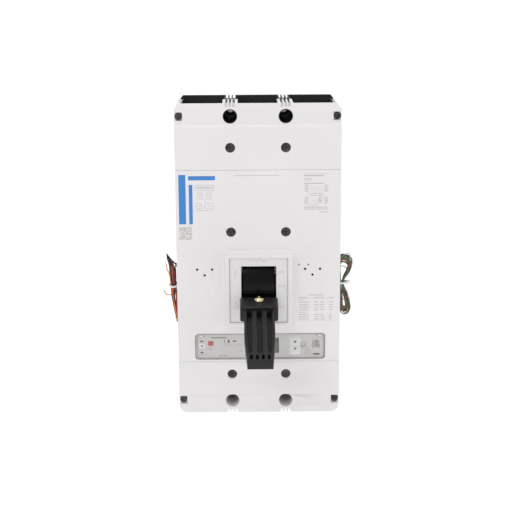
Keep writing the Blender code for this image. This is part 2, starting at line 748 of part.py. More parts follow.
def tube(name, points, radius, mat, resolution=2):
    curve = bpy.data.curves.new(name, "CURVE")
    curve.dimensions = "3D"
    curve.bevel_depth = radius
    curve.bevel_resolution = resolution
    curve.use_fill_caps = True
    curve.materials.append(mat)
    spline = curve.splines.new("POLY")
    spline.points.add(len(points) - 1)
    for target, point in zip(spline.points, points):
        target.co = (*point, 1.0)
    obj = bpy.data.objects.new(name, curve)
    bpy.context.scene.collection.objects.link(obj)
    return obj


def make_crossbar(mat):
    bar = rods("crossbar", [CROSSBAR_AXIS], 0.0100, "X", -0.0920, 0.0920, mat, sides=24)
    return set_origin(bar, (0, *CROSSBAR_AXIS))


def make_contact_arm(pole, x, mat):
    """A copper arm that stands on the crossbar, drawn upright and then leaned open."""
    y, z = CROSSBAR_AXIS
    front, back = y - 0.0045, y + 0.0035
    saddle = sector(CROSSBAR_AXIS, (0.0103, 0.0135), math.pi / 2, math.radians(60), 6)
    stalk = rectangle((front, back), (z + 0.0112, z + 0.060))
    head = [(front, z + 0.054), (back, z + 0.054), (back, z + 0.083), (back + 0.002, z + 0.084)]
    head += [(back + 0.002, z + 0.096), (front + 0.0015, z + 0.096), (front, z + 0.092)]
    saddle, stalk, head = (
        [around(CROSSBAR_AXIS, p, ARM_OPEN) for p in shape] for shape in (saddle, stalk, head)
    )
    arm = prism(f"contact_arm_{pole}", saddle, "X", x - 0.009, x + 0.009, mat)
    join(
        arm,
        prism(f"arm_stalk_{pole}", stalk, "X", x - 0.0035, x + 0.0035),
        prism(f"arm_head_{pole}", head, "X", x - 0.0080, x + 0.0080),
    )
    if x == 0:
        join(arm, rods("arm_pin", [arm_pin()], 0.0021, "X", -0.0056, 0.0056, sides=12))
    return set_origin(arm, (0, *CROSSBAR_AXIS))


def ribbon(points, thick):
    """An outline of even thickness round a path of (y, z) points."""
    left, right = [], []
    for i, point in enumerate(points):
        before, after = points[max(i - 1, 0)], points[min(i + 1, len(points) - 1)]
        run = Vector((after[0] - before[0], after[1] - before[1])).normalized()
        normal = Vector((-run.y, run.x)) * thick / 2
        left.append((point[0] + normal.x, point[1] + normal.y))
        right.append((point[0] - normal.x, point[1] - normal.y))
    return left + right[::-1]


def make_shunt(pole, x, mat):
    """The flexible braid from beside the crossbar to the load conductor."""
    path = arc((-0.0385, -0.0800), 0.0060, math.radians(160), math.radians(350), 10)
    return prism(f"shunt_{pole}", ribbon(path, 0.0022), "X", x - 0.008, x + 0.008, mat)


def make_line_conductor(pole, x, mat):
    outline = [(-0.046, 0.188), (-0.040, 0.188), (-0.040, 0.136), (-0.024, 0.128)]
    outline += [(-0.017, 0.118), (-0.017, 0.020), (-0.0245, 0.020), (-0.0245, 0.034)]
    outline += [(-0.023, 0.036), (-0.023, 0.114), (-0.028, 0.121), (-0.046, 0.131)]
    bar = prism(f"line_conductor_{pole}", outline, "X", x - 0.016, x + 0.016, mat)
    return cut(bar, rods(f"line_lug_hole_{pole}", [(x, 0.166)], 0.0055, "Y", -0.050, -0.036, sides=16))


def make_load_conductor(pole, x, mat):
    outline = [(-0.046, -0.188), (-0.046, -0.146), (-0.032, -0.138), (-0.032, -0.084)]
    outline += [(-0.026, -0.084), (-0.026, -0.141), (-0.040, -0.150), (-0.040, -0.188)]
    bar = prism(f"load_conductor_{pole}", outline, "X", x - 0.016, x + 0.016, mat)
    return cut(bar, rods(f"load_lug_hole_{pole}", [(x, -0.166)], 0.0055, "Y", -0.050, -0.036, sides=16))


def make_arc_chute(pole, x, mat):
    """Two side boards with a ladder of steel plates between them."""
    chute = block(f"arc_chute_{pole}", (x - 0.016, x + 0.016), (-0.074, -0.028), (0.040, 0.106), mat)
    spaces = []
    count, pitch, thick = 9, 0.0071, 0.0016
    for i in range(count):
        low = 0.0416 + i * pitch
        spaces.append(((x - 0.0145, x + 0.0145), (-0.076, -0.026), (low, low + pitch - thick)))
    return cut(chute, blocks(f"chute_spaces_{pole}", spaces))


def make_current_transformer(pole, x, mat):
    outer = rounded((x - 0.025, x + 0.025), (-0.054, -0.0095), 0.004, 3)
    inner = rounded((x - 0.0175, x + 0.0175), (-0.0345, -0.0235), 0.002, 2)
    ring = prism(f"current_transformer_{pole}", outer, "Z", -0.118, -0.096, mat)
    return cut(ring, prism(f"transformer_way_{pole}", inner, "Z", -0.13, -0.08))


# ---- Trip unit ----
def make_trip_unit(mats):
    body = [resize(span, -0.0005) for span in (TRIP_PANEL_X, TRIP_PANEL_Z)]
    label = [resize(span, -0.0002) for span in (TRIP_PANEL_X, TRIP_PANEL_Z)]
    standing = (TRIP_BUTTON, KEY_UP, KEY_DOWN, KEY_ENTER, DISPLAY)
    ways = [[resize(span, GAP) for span in area] for area in standing]
    housing = block("trip_unit_housing", body[0], (-0.1228, -0.084), body[1], mats["black"])
    wells = blocks("trip_wells", [(x, (-0.130, -0.1150), z) for x, z in ways])
    cut(soften(housing, 0.0012), wells)
    outline = rounded(*label, 0.0035)
    face = prism("trip_unit_faceplate", outline, "Y", TRIP_FACE_Y, -0.1231, mats["panel"])
    gates = blocks("face_gates", [(x, (-0.130, -0.1200), z) for x, z in ways])
    port = prism("face_port", rounded((0.0712, 0.0788), (-0.1243, -0.1222), 0.001, 3), "Y", -0.130, -0.1238)
    cut(face, gates, port)


def make_key(name, area, front, mat):
    """A push key: its travel is straight back into its well."""
    (x0, x1), (z0, z1) = area
    key = block(name, (x0, x1), (front, -0.1180), (z0, z1), mat)
    return set_origin(key, ((x0 + x1) / 2, front, (z0 + z1) / 2))


def make_trip_controls(mats):
    make_key("trip_button", TRIP_BUTTON, -0.1256, mats["red"])
    make_key("key_up", KEY_UP, -0.1253, mats["white"])
    make_key("key_down", KEY_DOWN, -0.1253, mats["white"])
    make_key("key_enter", KEY_ENTER, -0.1252, mats["panel"])
    (x0, x1), (z0, z1) = DISPLAY
    block("display", (x0, x1), (-0.1246, -0.1200), (z0, z1), mats["display"])


def make_clear_cover(mat):
    """A shallow clear tray over the trip unit's face, hinged along its lower edge."""
    outer, inner = (
        rounded(resize(TRIP_PANEL_X, -edge), resize(TRIP_PANEL_Z, -edge), radius)
        for edge, radius in ((0.0002, 0.0035), (0.0016, 0.0025))
    )
    cover = prism("clear_cover", outer, "Y", -0.1283, -0.1251, mat)
    cut(cover, prism("clear_hollow", inner, "Y", -0.1272, -0.1200))
    return set_origin(cover, (0, -0.1280, TRIP_PANEL_Z[0]))


def make_trip_bar(mat):
    """The bar that the trip unit turns to release the cradle, with its paddle."""
    bar = rods("trip_bar", [TRIP_BAR_AXIS], 0.0032, "X", -0.070, 0.070, mat, sides=12)
    paddle = block("trip_paddle", (-0.0660, -0.0580), (-0.0990, -0.0820), (-0.0880, -0.0850))
    hook = block("trip_hook", (-0.0060, 0.0060), (-0.0860, -0.0835), (-0.0870, -0.0760))
    join(bar, paddle, hook)
    return set_origin(bar, (0, *TRIP_BAR_AXIS))


# ---- Accessories and harnesses ----
def make_accessory(side, s, mat):
    x = sorted((s * 0.046, s * 0.096))
    module = block(f"accessory_module_{side}", x, (-0.1190, -0.0900), (-0.036, 0.034), mat)
    soften(module, 0.0015)
    middle = sum(x) / 2
    grooves = [
        ((middle + step * 0.012 - 0.002, middle + step * 0.012 + 0.002), (-0.095, -0.080), (-0.028, 0.026))
        for step in (-1, 0, 1)
    ]
    return cut(module, blocks(f"module_grooves_{side}", grooves))


def smooth_path(points, spacing):
    """Points along a smooth curve through the given ones (Catmull-Rom), a spacing apart."""
    ends = [2 * points[0] - points[1], *points, 2 * points[-1] - points[-2]]
    dense = []
    for a, b, c, d in zip(ends, ends[1:], ends[2:], ends[3:]):
        for i in range(40):
            t = i / 40
            square = (2 * a - 5 * b + 4 * c - d) * t**2
            cube = (3 * b - a - 3 * c + d) * t**3
            dense.append(0.5 * (2 * b + (c - a) * t + square + cube))
    dense.append(points[-1])
    kept = [dense[0]]
    for point in dense[1:-1]:
        if (point - kept[-1]).length >= spacing and (dense[-1] - point).length >= spacing / 2:
            kept.append(point)
    kept.append(dense[-1])
    return kept


def make_lead(side, route, mat):
    points = [Vector((x, HARNESS_Y, z)) for x, z in route]
    return tube(f"{side}_harness_lead", smooth_path(points, 0.0030), 0.0026, mat)


def make_hank(side, sections, mat):
    """The folded leads: an upright outline with round ends, drawn in at the cable tie."""
    (top_x, top_z, top_r), (low_x, low_z, low_r) = sections[0], sections[-1]
    middle = sections[1:-1]
    outline = arc((top_x, top_z), top_r, 0, math.pi, 10)
    outline += [(x - half, z) for x, z, half in middle]
    outline += arc((low_x, low_z), low_r, math.pi, 2 * math.pi, 10)
    outline += [(x + half, z) for x, z, half in reversed(middle)]
    y = (HARNESS_Y - HANK_HALF_Y, HARNESS_Y + HANK_HALF_Y)
    return prism(f"{side}_harness_hank", outline, "Y", *y, mat, smooth=True)


def make_tie(side, sections, lock, mat):
    """The cable tie round a hank's neck. Its square lock stands at (dx, dy) from the neck's middle."""
    above, below = sections[-3], sections[-2]
    x, half = above[0], above[2]
    z = (above[1] + below[1]) / 2

    def slab(name, across, deep, height, centre=(0.0, 0.0), mat=None):
        x_range = (x + centre[0] - across, x + centre[0] + across)
        y_middle = HARNESS_Y + centre[1]
        return block(name, x_range, (y_middle - deep, y_middle + deep), (z - height, z + height), mat)

    outside = (half + TIE_THICK, HANK_HALF_Y + TIE_THICK)
    tie = slab(f"{side}_cable_tie", *outside, TIE_HALF_HEIGHT, mat=mat)
    square = slab(f"{side}_tie_lock", 0.0020, 0.0022, 0.0026, centre=lock)
    hollow = slab(f"{side}_tie_hollow", half + GAP, HANK_HALF_Y + GAP, 0.0100)
    return cut(join(tie, square), hollow)


def make_harnesses(mats):
    make_lead("right", RIGHT_LEAD, mats["lead"])
    make_lead("left", LEFT_LEAD, mats["lead"])
    make_hank("right", RIGHT_HANK, mats["lead"])
    make_hank("left", LEFT_HANK, mats["lead"])
    make_tie("right", RIGHT_HANK, (0.0076, 0.0), mats["white"])
    make_tie("left", LEFT_HANK, (0.0, 0.0086), mats["white"])


# ---- The whole breaker ----
def main():
    clear_scene()
    mats = {
        "black": material("black moulding", (0.020, 0.020, 0.021), 0.50),
        "white": material("pale moulding", (0.78, 0.78, 0.78), 0.45),
        "panel": material("panel grey", (0.62, 0.61, 0.59), 0.55),
        "steel": material("dark steel", (0.055, 0.052, 0.048), 0.42, 0.8),
        "zinc": material("yellow zinc", (0.72, 0.60, 0.32), 0.28, 1.0),
        "frame": material("plated steel", (0.50, 0.50, 0.49), 0.35, 1.0),
        "copper": material("copper", (0.75, 0.36, 0.22), 0.35, 1.0),
        "braid": material("copper braid", (0.60, 0.30, 0.18), 0.55, 1.0),
        "board": material("arc board", (0.42, 0.30, 0.20), 0.70),
        "module": material("module grey", (0.25, 0.26, 0.27), 0.55),
        "red": material("red button", (0.55, 0.02, 0.02), 0.45),
        "display": material("display glass", (0.03, 0.06, 0.035), 0.20),
        "clear": material("clear cover", (0.9, 0.92, 0.92), 0.10, 0.0, 0.25),
        "lead": material("lead insulation", (0.06, 0.09, 0.06), 0.50),
    }
    make_base(mats["black"])
    make_main_cover(mats["white"])
    make_terminal_cover("line_terminal_cover", True, mats["white"])
    make_terminal_cover("load_terminal_cover", False, mats["white"])
    make_escutcheon(mats["white"])
    make_fasteners(mats["steel"])
    pivot = handle_frame()
    make_toggle_handle(pivot, mats["black"])
    make_handle_extension(pivot, mats["black"])
    make_extension_screw(pivot, mats["zinc"])
    make_mechanism_frame(mats["frame"])
    make_cradle(mats["frame"])
    make_upper_link(mats["frame"])
    make_lower_link(mats["frame"])
    make_springs(mats["steel"])
    make_crossbar(mats["black"])
    for pole, x in poles():
        make_contact_arm(pole, x, mats["copper"])
        make_shunt(pole, x, mats["braid"])
        make_line_conductor(pole, x, mats["copper"])
        make_load_conductor(pole, x, mats["copper"])
        make_arc_chute(pole, x, mats["board"])
        make_current_transformer(pole, x, mats["module"])
    make_trip_unit(mats)
    make_trip_controls(mats)
    make_clear_cover(mats["clear"])
    make_trip_bar(mats["black"])
    for side, s in sides():
        make_accessory(side, s, mats["module"])
    make_harnesses(mats)


main()
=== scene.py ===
import json
import math
import random

import bmesh
import bpy
from mathutils import Matrix, Vector


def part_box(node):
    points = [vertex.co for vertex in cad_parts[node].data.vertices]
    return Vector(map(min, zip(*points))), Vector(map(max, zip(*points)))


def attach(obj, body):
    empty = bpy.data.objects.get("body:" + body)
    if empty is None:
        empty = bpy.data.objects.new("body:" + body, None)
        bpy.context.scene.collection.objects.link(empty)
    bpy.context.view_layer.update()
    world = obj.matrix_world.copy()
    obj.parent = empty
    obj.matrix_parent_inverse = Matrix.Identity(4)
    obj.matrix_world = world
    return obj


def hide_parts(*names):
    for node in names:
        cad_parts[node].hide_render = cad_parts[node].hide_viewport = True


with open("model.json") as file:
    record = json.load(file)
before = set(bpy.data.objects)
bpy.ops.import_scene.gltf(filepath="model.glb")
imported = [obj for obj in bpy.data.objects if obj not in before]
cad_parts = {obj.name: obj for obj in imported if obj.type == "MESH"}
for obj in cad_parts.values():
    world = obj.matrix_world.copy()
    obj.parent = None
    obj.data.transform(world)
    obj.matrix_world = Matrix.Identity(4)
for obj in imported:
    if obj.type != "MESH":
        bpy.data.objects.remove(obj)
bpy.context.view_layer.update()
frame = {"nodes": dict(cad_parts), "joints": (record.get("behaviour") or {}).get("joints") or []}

NODES = frame["nodes"]
MM = 0.001


# ---- Places that the CAD nodes give ----
def span(node, axis):
    """The range of a node along an axis."""
    low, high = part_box(node)
    return low["XYZ".index(axis)], high["XYZ".index(axis)]


def middle(node):
    low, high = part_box(node)
    return (low + high) / 2


FLOOR_Z = span("base", "Z")[0]
SIDE_X = span("main_cover", "X")[1]
FACE_Y = span("line_terminal_cover", "Y")[0]  # front of the covers
PANEL_Y = span("escutcheon", "Y")[0]
LABEL_Y = span("trip_unit_faceplate", "Y")[0]
HANDLE_TURN = next(j for j in frame["joints"] if j["name"] == "handle_turn")
HANDLE_AXIS = Vector(HANDLE_TURN["pos_m"])
HANDLE_OFF = math.radians(18)  # how far below level the handle points at rest
# x, z and radius of each
TEST_HOLES = [(x, -0.0083, 0.0016) for x in (-0.0788, -0.0596, 0.0596, 0.0788)]
TEST_HOLES += [(-0.0692, -0.0159, 0.0016), (0.0692, -0.0159, 0.0016)]
TEST_HOLES += [(0.0516, -0.0025, 0.0010), (0.0637, -0.0025, 0.0010)]


# ---- Camera ----
def make_camera():
    """A view from a little above the middle, 13 degrees down, with a long lens."""
    data = bpy.data.cameras.new("camera")
    data.sensor_width = 36
    data.lens = 82.25
    data.clip_end = 50
    camera = bpy.data.objects.new("camera", data)
    bpy.context.scene.collection.objects.link(camera)
    pitch, yaw, roll = (math.radians(a) for a in (12.88, -0.56, -0.29))
    camera.matrix_world = (
        Matrix.Translation((-0.0175, -1.5852, 0.3425))
        @ Matrix.Rotation(yaw, 4, "Z")
        @ Matrix.Rotation(math.pi / 2 - pitch, 4, "X")
        @ Matrix.Rotation(roll, 4, "Z")
    )
    bpy.context.scene.camera = camera


# ---- Node materials ----
class Shader:
    """A material with a few helpers to add and wire its nodes."""

    def __init__(self, name, colour, roughness, metallic=0.0):
        self.mat = bpy.data.materials.new(name)
        self.mat.use_nodes = True
        self.mat.diffuse_color = (*colour, 1)
        self.tree = self.mat.node_tree
        self.bsdf = self.tree.nodes["Principled BSDF"]
        self.colour = colour
        self.roughness = roughness
        self.bsdf.inputs["Base Color"].default_value = (*colour, 1)
        self.bsdf.inputs["Roughness"].default_value = roughness
        self.bsdf.inputs["Metallic"].default_value = metallic
        self.place = self.add("TexCoord").outputs["Object"]
        self.bump_from = None

    def add(self, kind, **settings):
        made = self.tree.nodes.new(f"ShaderNode{kind}")
        for name, value in settings.items():
            setattr(made, name, value)
        return made

    def link(self, output, target):
        self.tree.links.new(output, target)

    def stretched(self, scale):
        """The object's coordinates, scaled differently along X, Y and Z."""
        mapping = self.add("Mapping")
        mapping.inputs["Scale"].default_value = scale
        self.link(self.place, mapping.inputs["Vector"])
        return mapping.outputs["Vector"]

    def noise(self, scale, detail=2.0, place=None, rough=0.5):
        made = self.add("TexNoise")
        made.inputs["Scale"].default_value = scale
        made.inputs["Detail"].default_value = detail
        made.inputs["Roughness"].default_value = rough
        self.link(place or self.place, made.inputs["Vector"])
        return made.outputs["Fac"]

    def ramp(self, factor, low, high, start=0.0, end=1.0):
        """Maps the factor from low..high to start..end."""
        made = self.add("MapRange")
        for socket, value in zip(("From Min", "From Max", "To Min", "To Max"), (low, high, start, end)):
            made.inputs[socket].default_value = value
        self.link(factor, made.inputs["Value"])
        return made.outputs["Result"]

    def mix(self, factor, first, second):
        """Mixes two colours, each a tuple or an output."""
        made = self.add("Mix", data_type="RGBA")
        self.link(factor, made.inputs["Factor"])
        for socket, value in (("A", first), ("B", second)):
            target = next(s for s in made.inputs if s.name == socket and s.type == "RGBA")
            if isinstance(value, tuple):
                target.default_value = (*value, 1)
            else:
                self.link(value, target)
        return next(s for s in made.outputs if s.type == "RGBA")

    def paint(self, output):
        self.link(output, self.bsdf.inputs["Base Color"])
        return self

    def vary_roughness(self, factor, spread):
        low, high = self.roughness - spread, self.roughness + spread
        self.link(self.ramp(factor, 0.3, 0.7, low, high), self.bsdf.inputs["Roughness"])
        return self

    def bump(self, height, strength, distance):
        made = self.add("Bump")
        made.inputs["Strength"].default_value = strength
        made.inputs["Distance"].default_value = distance
        self.link(height, made.inputs["Height"])
        if self.bump_from is not None:
            self.link(self.bump_from, made.inputs["Normal"])
        self.bump_from = made.outputs["Normal"]
        self.link(self.bump_from, self.bsdf.inputs["Normal"])
        return self


def scaled(colour, by):
    return tuple(min(1.0, c * by) for c in colour)


def moulding(name, colour, roughness, grain=0.10, mottle=0.03, dust=0.0, coarse=1400, gloss=0.5):
    """Moulded thermoset: broad mottling, a fine grain, and a few specks of dust."""
    made = Shader(name, colour, roughness)
    blotch = made.ramp(made.noise(14, 3), 0.35, 0.65)
    flow = made.ramp(made.noise(260, 2), 0.3, 0.7)
    paint = made.mix(blotch, scaled(colour, 1 - mottle), scaled(colour, 1 + mottle))
    paint = made.mix(made.ramp(flow, 0.0, 1.0, 0.0, 0.35), paint, scaled(colour, 1 - mottle * 1.5))
    if dust:
        specks = made.ramp(made.noise(950, 1), 0.72, 0.80, 0.0, dust)
        paint = made.mix(specks, paint, (0.42, 0.40, 0.37))
    made.paint(paint)
    made.vary_roughness(flow, 0.05)
    made.bump(made.noise(coarse, 2), grain, 0.00012)
    made.bump(made.noise(45, 1), 0.05, 0.0004)
    made.bsdf.inputs["Specular IOR Level"].default_value = gloss
    return made.mat


def ink(name, colour, roughness=0.6):
    """Printed ink or a laser mark: slightly uneven, with pinholes."""
    made = Shader(name, colour, roughness)
    wear = made.ramp(made.noise(2600, 2), 0.32, 0.5)
    made.paint(made.mix(wear, scaled(colour, 1.25), colour))
    made.vary_roughness(made.noise(700), 0.06)
    return made.mat


def metal(name, colour, roughness, brushed=(1, 1, 1), spread=0.10, tarnish=0.82):
    """Metal with fine scratches along one direction and a broad change of tone."""
    made = Shader(name, colour, roughness, 1.0)
    place = made.stretched(brushed)
    lines = made.noise(1500, 2, place)
    tone = made.ramp(made.noise(90, 3), 0.35, 0.68)
    made.paint(made.mix(tone, scaled(colour, tarnish), colour))
    made.vary_roughness(lines, spread)
    made.bump(lines, 0.12, 0.00005)
    return made.mat


def wire_insulation(name, colour):
    made = Shader(name, colour, 0.38)
    tone = made.ramp(made.noise(160, 2), 0.3, 0.7)
    made.paint(made.mix(tone, scaled(colour, 0.8), scaled(colour, 1.15)))
    made.vary_roughness(made.noise(900), 0.08)
    made.bump(made.noise(2200, 1), 0.08, 0.00005)
    made.bsdf.inputs["Coat Weight"].default_value = 0.15
    return made.mat


def clear_plastic():
    """A thin clear moulding: mostly seen through, with its gloss and a trace of haze."""
    made = Shader("clear_plastic", (0.62, 0.63, 0.63), 0.08)
    made.bsdf.inputs["Alpha"].default_value = 0.08
    made.vary_roughness(made.noise(60, 3), 0.03)
    made.bump(made.noise(30, 1), 0.03, 0.0003)
    return made.mat


def display_glass():
    """A dark green liquid crystal with a faint grid of cells behind its glass."""
    made = Shader("display_glass", (0.022, 0.042, 0.018), 0.16)
    cells = made.add("TexBrick")
    cells.inputs["Scale"].default_value = 1.0
    cells.inputs["Color1"].default_value = (0.024, 0.040, 0.018, 1)
    cells.inputs["Color2"].default_value = (0.018, 0.034, 0.015, 1)
    cells.inputs["Mortar"].default_value = (0.016, 0.030, 0.014, 1)
    cells.inputs["Mortar Size"].default_value = 0.04
    turn = made.add("Mapping")
    turn.inputs["Rotation"].default_value = (math.pi / 2, 0, 0)
    turn.inputs["Scale"].default_value = (900, 900, 900)
    made.link(made.place, turn.inputs["Vector"])
    made.link(turn.outputs["Vector"], cells.inputs["Vector"])
    made.paint(cells.outputs["Color"])
    made.bsdf.inputs["Coat Weight"].default_value = 0.6
    made.vary_roughness(made.noise(80), 0.04)
    return made.mat


def make_materials():
    white = (0.790, 0.766, 0.773)
    return {
        "pale": moulding("pale_moulding", white, 0.46, mottle=0.012),
        "panel": moulding("panel_moulding", scaled(white, 0.965), 0.50, mottle=0.010),
        "black": moulding("black_moulding", (0.0085, 0.0080, 0.0085), 0.42, 0.22, 0.10, 0.12, gloss=0.3),
        "gloss": moulding("handle_moulding", (0.0026, 0.0022, 0.0022), 0.26, 0.06, 0.08, 0.12, gloss=0.18),
        "lever": moulding("lever_moulding", (0.0125, 0.0115, 0.0120), 0.42, 0.30, 0.10, 0.08, gloss=0.3),
        "label": moulding("label_film", (0.640, 0.618, 0.600), 0.52, grain=0.05, mottle=0.015, coarse=2600),
        "key": moulding("key_film", (0.800, 0.795, 0.785), 0.42, grain=0.05, mottle=0.01),
        "red": moulding("red_moulding", (0.620, 0.018, 0.022), 0.36, grain=0.06, mottle=0.06),
        "module": moulding("module_moulding", (0.100, 0.105, 0.110), 0.52, grain=0.20, mottle=0.06),
        "board": moulding("fibre_board", (0.330, 0.230, 0.150), 0.72, grain=0.45, mottle=0.12, coarse=700),
        "nylon": moulding("white_nylon", (0.820, 0.815, 0.800), 0.40, grain=0.05, mottle=0.015),
        "blue": ink("blue_ink", (0.043, 0.215, 0.560), 0.45),
        "grey": ink("grey_ink", (0.470, 0.440, 0.425)),
        "faint": ink("faint_ink", (0.500, 0.460, 0.450)),
        "grey_pale": ink("pale_grey_ink", (0.500, 0.485, 0.480)),
        "dark": ink("dark_ink", (0.045, 0.042, 0.042)),
        "code": ink("code_ink", (0.160, 0.155, 0.150)),
        "screw": metal("blackened_screw", (0.150, 0.142, 0.130), 0.40, tarnish=0.45),
        "zinc": metal("yellow_zinc", (0.780, 0.690, 0.430), 0.20, (1, 1, 6), 0.08, 0.90),
        "steel": metal("plated_steel", (0.560, 0.560, 0.550), 0.32, (1, 8, 1)),
        "spring": metal("spring_wire", (0.330, 0.330, 0.345), 0.30, (1, 1, 9)),
        "copper": metal("bare_copper", (0.820, 0.440, 0.300), 0.30, (1, 1, 12), tarnish=0.62),
        "tin": metal("tinned_strands", (0.720, 0.715, 0.700), 0.34, (9, 9, 1)),
        "braid": metal("copper_braid", (0.700, 0.360, 0.230), 0.52, (7, 7, 1), tarnish=0.5),
        "clear": clear_plastic(),
        "display": display_glass(),
    }


# ---- Mesh helpers ----
def add_object(name, mesh, mat, body, slot=None):
    mesh.materials.clear()
    mesh.materials.append(mat)
    obj = bpy.data.objects.new(name, mesh)
    bpy.context.scene.collection.objects.link(obj)
    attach(obj, body)
    return obj


def from_bmesh(name, bm, mat, body, slot=None, angle=35, keep_flats=False):
    bmesh.ops.recalc_face_normals(bm, faces=bm.faces)
    mesh = bpy.data.meshes.new(name)
    bm.to_mesh(mesh)
    bm.free()
    if not keep_flats:
        mesh.shade_smooth()
    mesh.set_sharp_from_angle(angle=math.radians(angle))
    return add_object(name, mesh, mat, body, slot)


def round_edges(bm, width, segments=3, angle=32):
    """Rounds the edges that are sharper than the angle, and gives the new faces."""
    bm.normal_update()
    sharp = [
        e
        for e in bm.edges
        if len(e.link_faces) == 2
        and e.calc_face_angle(0) > math.radians(angle)
        and e.calc_length() > 1.2 * width
    ]
    made = bmesh.ops.bevel(
        bm,
        geom=sharp,
        offset=width,
        segments=segments,
        profile=0.5,
        affect="EDGES",
        clamp_overlap=True,
    )
    return made["faces"]


def refined(node, mat, body, width, segments=3, slot=None):
    """A CAD node's own shape with its edges rounded, which stands for it."""
    bm = bmesh.new()
    bm.from_mesh(NODES[node].data)
    bmesh.ops.remove_doubles(bm, verts=bm.verts, dist=0.00001)
    bmesh.ops.dissolve_limit(
        bm, angle_limit=math.radians(0.5), verts=bm.verts, edges=bm.edges, use_dissolve_boundaries=False
    )
    bm.normal_update()
    for face in bm.faces:
        face.smooth = any(0.02 < e.calc_face_angle(0) < 0.55 for e in face.edges)
    for face in round_edges(bm, width, segments):
        face.smooth = True
    made = from_bmesh(f"{node}_finish", bm, mat, body, slot, angle=45, keep_flats=True)
    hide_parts(node)
    return made


def slab(bm, outline, front, back, hole=None):
    """A thin plate that follows an outline of (x, z) points, with a hole of as many points."""
    rings = []
    for y in (front, back):
        rings.append([bm.verts.new((x, y, z)) for x, z in outline])
    if hole:
        for y in (front, back):
            rings.append([bm.verts.new((x, y, z)) for x, z in hole])
    count = len(outline)
    for i in range(count):
        j = (i + 1) % count
        bm.faces.new((rings[0][i], rings[0][j], rings[1][j], rings[1][i]))
        if hole:
            bm.faces.new((rings[2][j], rings[2][i], rings[3][i], rings[3][j]))
            bm.faces.new((rings[0][j], rings[0][i], rings[2][i], rings[2][j]))
            bm.faces.new((rings[1][i], rings[1][j], rings[3][j], rings[3][i]))
    if not hole:
        bm.faces.new(rings[0])
        bm.faces.new(rings[1])


def rect(x0, x1, z0, z1):
    return [(x0, z0), (x1, z0), (x1, z1), (x0, z1)]


def arc(centre, radius, start, end, steps):
    points = []
    for i in range(steps + 1):
        angle = math.radians(start + (end - start) * i / steps)
        points.append((centre[0] + radius * math.cos(angle), centre[1] + radius * math.sin(angle)))
    return points


def rounded(x0, x1, z0, z1, radius, steps=4):
    points = arc((x1 - radius, z1 - radius), radius, 0, 90, steps)
    points += arc((x0 + radius, z1 - radius), radius, 90, 180, steps)
    points += arc((x0 + radius, z0 + radius), radius, 180, 270, steps)
    return points + arc((x1 - radius, z0 + radius), radius, 270, 360, steps)


def stroke(points, width):
    """The outline of a line of even width through (x, z) points."""
    left, right = [], []
    for i, point in enumerate(points):
        before, after = points[max(i - 1, 0)], points[min(i + 1, len(points) - 1)]
        run = Vector((after[0] - before[0], after[1] - before[1])).normalized() * width / 2
        left.append((point[0] - run.y, point[1] + run.x))
        right.append((point[0] + run.y, point[1] - run.x))
    return left + right[::-1]


PRINT_PROUD = 0.03 * MM
PRINT_SUNK = 0.05 * MM


def printed(name, marks, y, mat, body="casing"):
    """Flat marks on a face that looks towards -Y. A mark is an outline, or an outline and its hole."""
    bm = bmesh.new()
    for mark in marks:
        outline, hole = mark if isinstance(mark, tuple) else (mark, None)
        slab(bm, outline, y - PRINT_PROUD, y + PRINT_SUNK, hole)
    return from_bmesh(name, bm, mat, body)


def words(x0, x1, z, height, rng, gap=0.5):
    """A row of short bars that stands for a line of small print."""
    marks, x = [], x0
    while x < x1 - height:
        long = min(rng.uniform(1.2, 4.2) * height, x1 - x)
        marks.append(rect(x, x + long, z - height / 2, z + height / 2))
        x += long + gap * height
    return marks


def ring(x, z, radius, width, steps=28):
    end = 360 - 360 / steps
    return arc((x, z), radius, 0, end, steps - 1), arc((x, z), radius - width, 0, end, steps - 1)


def frame_mark(x0, x1, z0, z1, width, radius=0.4 * MM):
    return (
        rounded(x0, x1, z0, z1, radius),
        rounded(x0 + width, x1 - width, z0 + width, z1 - width, max(radius - width, 0.05 * MM)),
    )


def cells(x0, z0, size, count, rng):
    """A square of random cells, each run of filled cells in a row as one bar."""
    marks, step = [], size / count
    for row in range(count):
        start = None
        for column in range(count + 1):
            filled = column < count and rng.random() < 0.55
            if filled and start is None:
                start = column
            if not filled and start is not None:
                z = z0 + row * step
                marks.append(rect(x0 + start * step, x0 + column * step, z, z + step * 0.96))
                start = None
    return marks


def lettering(name, text, x, z, size, y, mat, body="casing"):
    data = bpy.data.curves.new(name, "FONT")
    data.body = text
    data.size = size
    data.align_x = "CENTER"
    data.align_y = "CENTER"
    data.extrude = PRINT_PROUD
    data.resolution_u = 4
    data.materials.append(mat)
    obj = bpy.data.objects.new(name, data)
    bpy.context.scene.collection.objects.link(obj)
    obj.matrix_world = Matrix.Translation((x, y, z)) @ Matrix.Rotation(math.pi / 2, 4, "X")
    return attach(obj, body)


# ---- Harnesses ----
WIRE_D = 1.3 * MM
WIRE_LENGTH = 0.4572  # 18 in leads
EXIT_Y = middle("right_harness_lead").y


def closed_curve(points, t):
    """The point at t (in points) on a smooth closed curve through the points (Catmull-Rom)."""
    count = len(points)
    i = math.floor(t)
    f = t - i
    a, b, c, d = (points[(i + k) % count] for k in (-1, 0, 1, 2))
    square = (2 * a - 5 * b + 4 * c - d) * f**2
    cube = (3 * b - a - 3 * c + d) * f**3
    return 0.5 * (2 * b + (c - a) * f + square + cube)


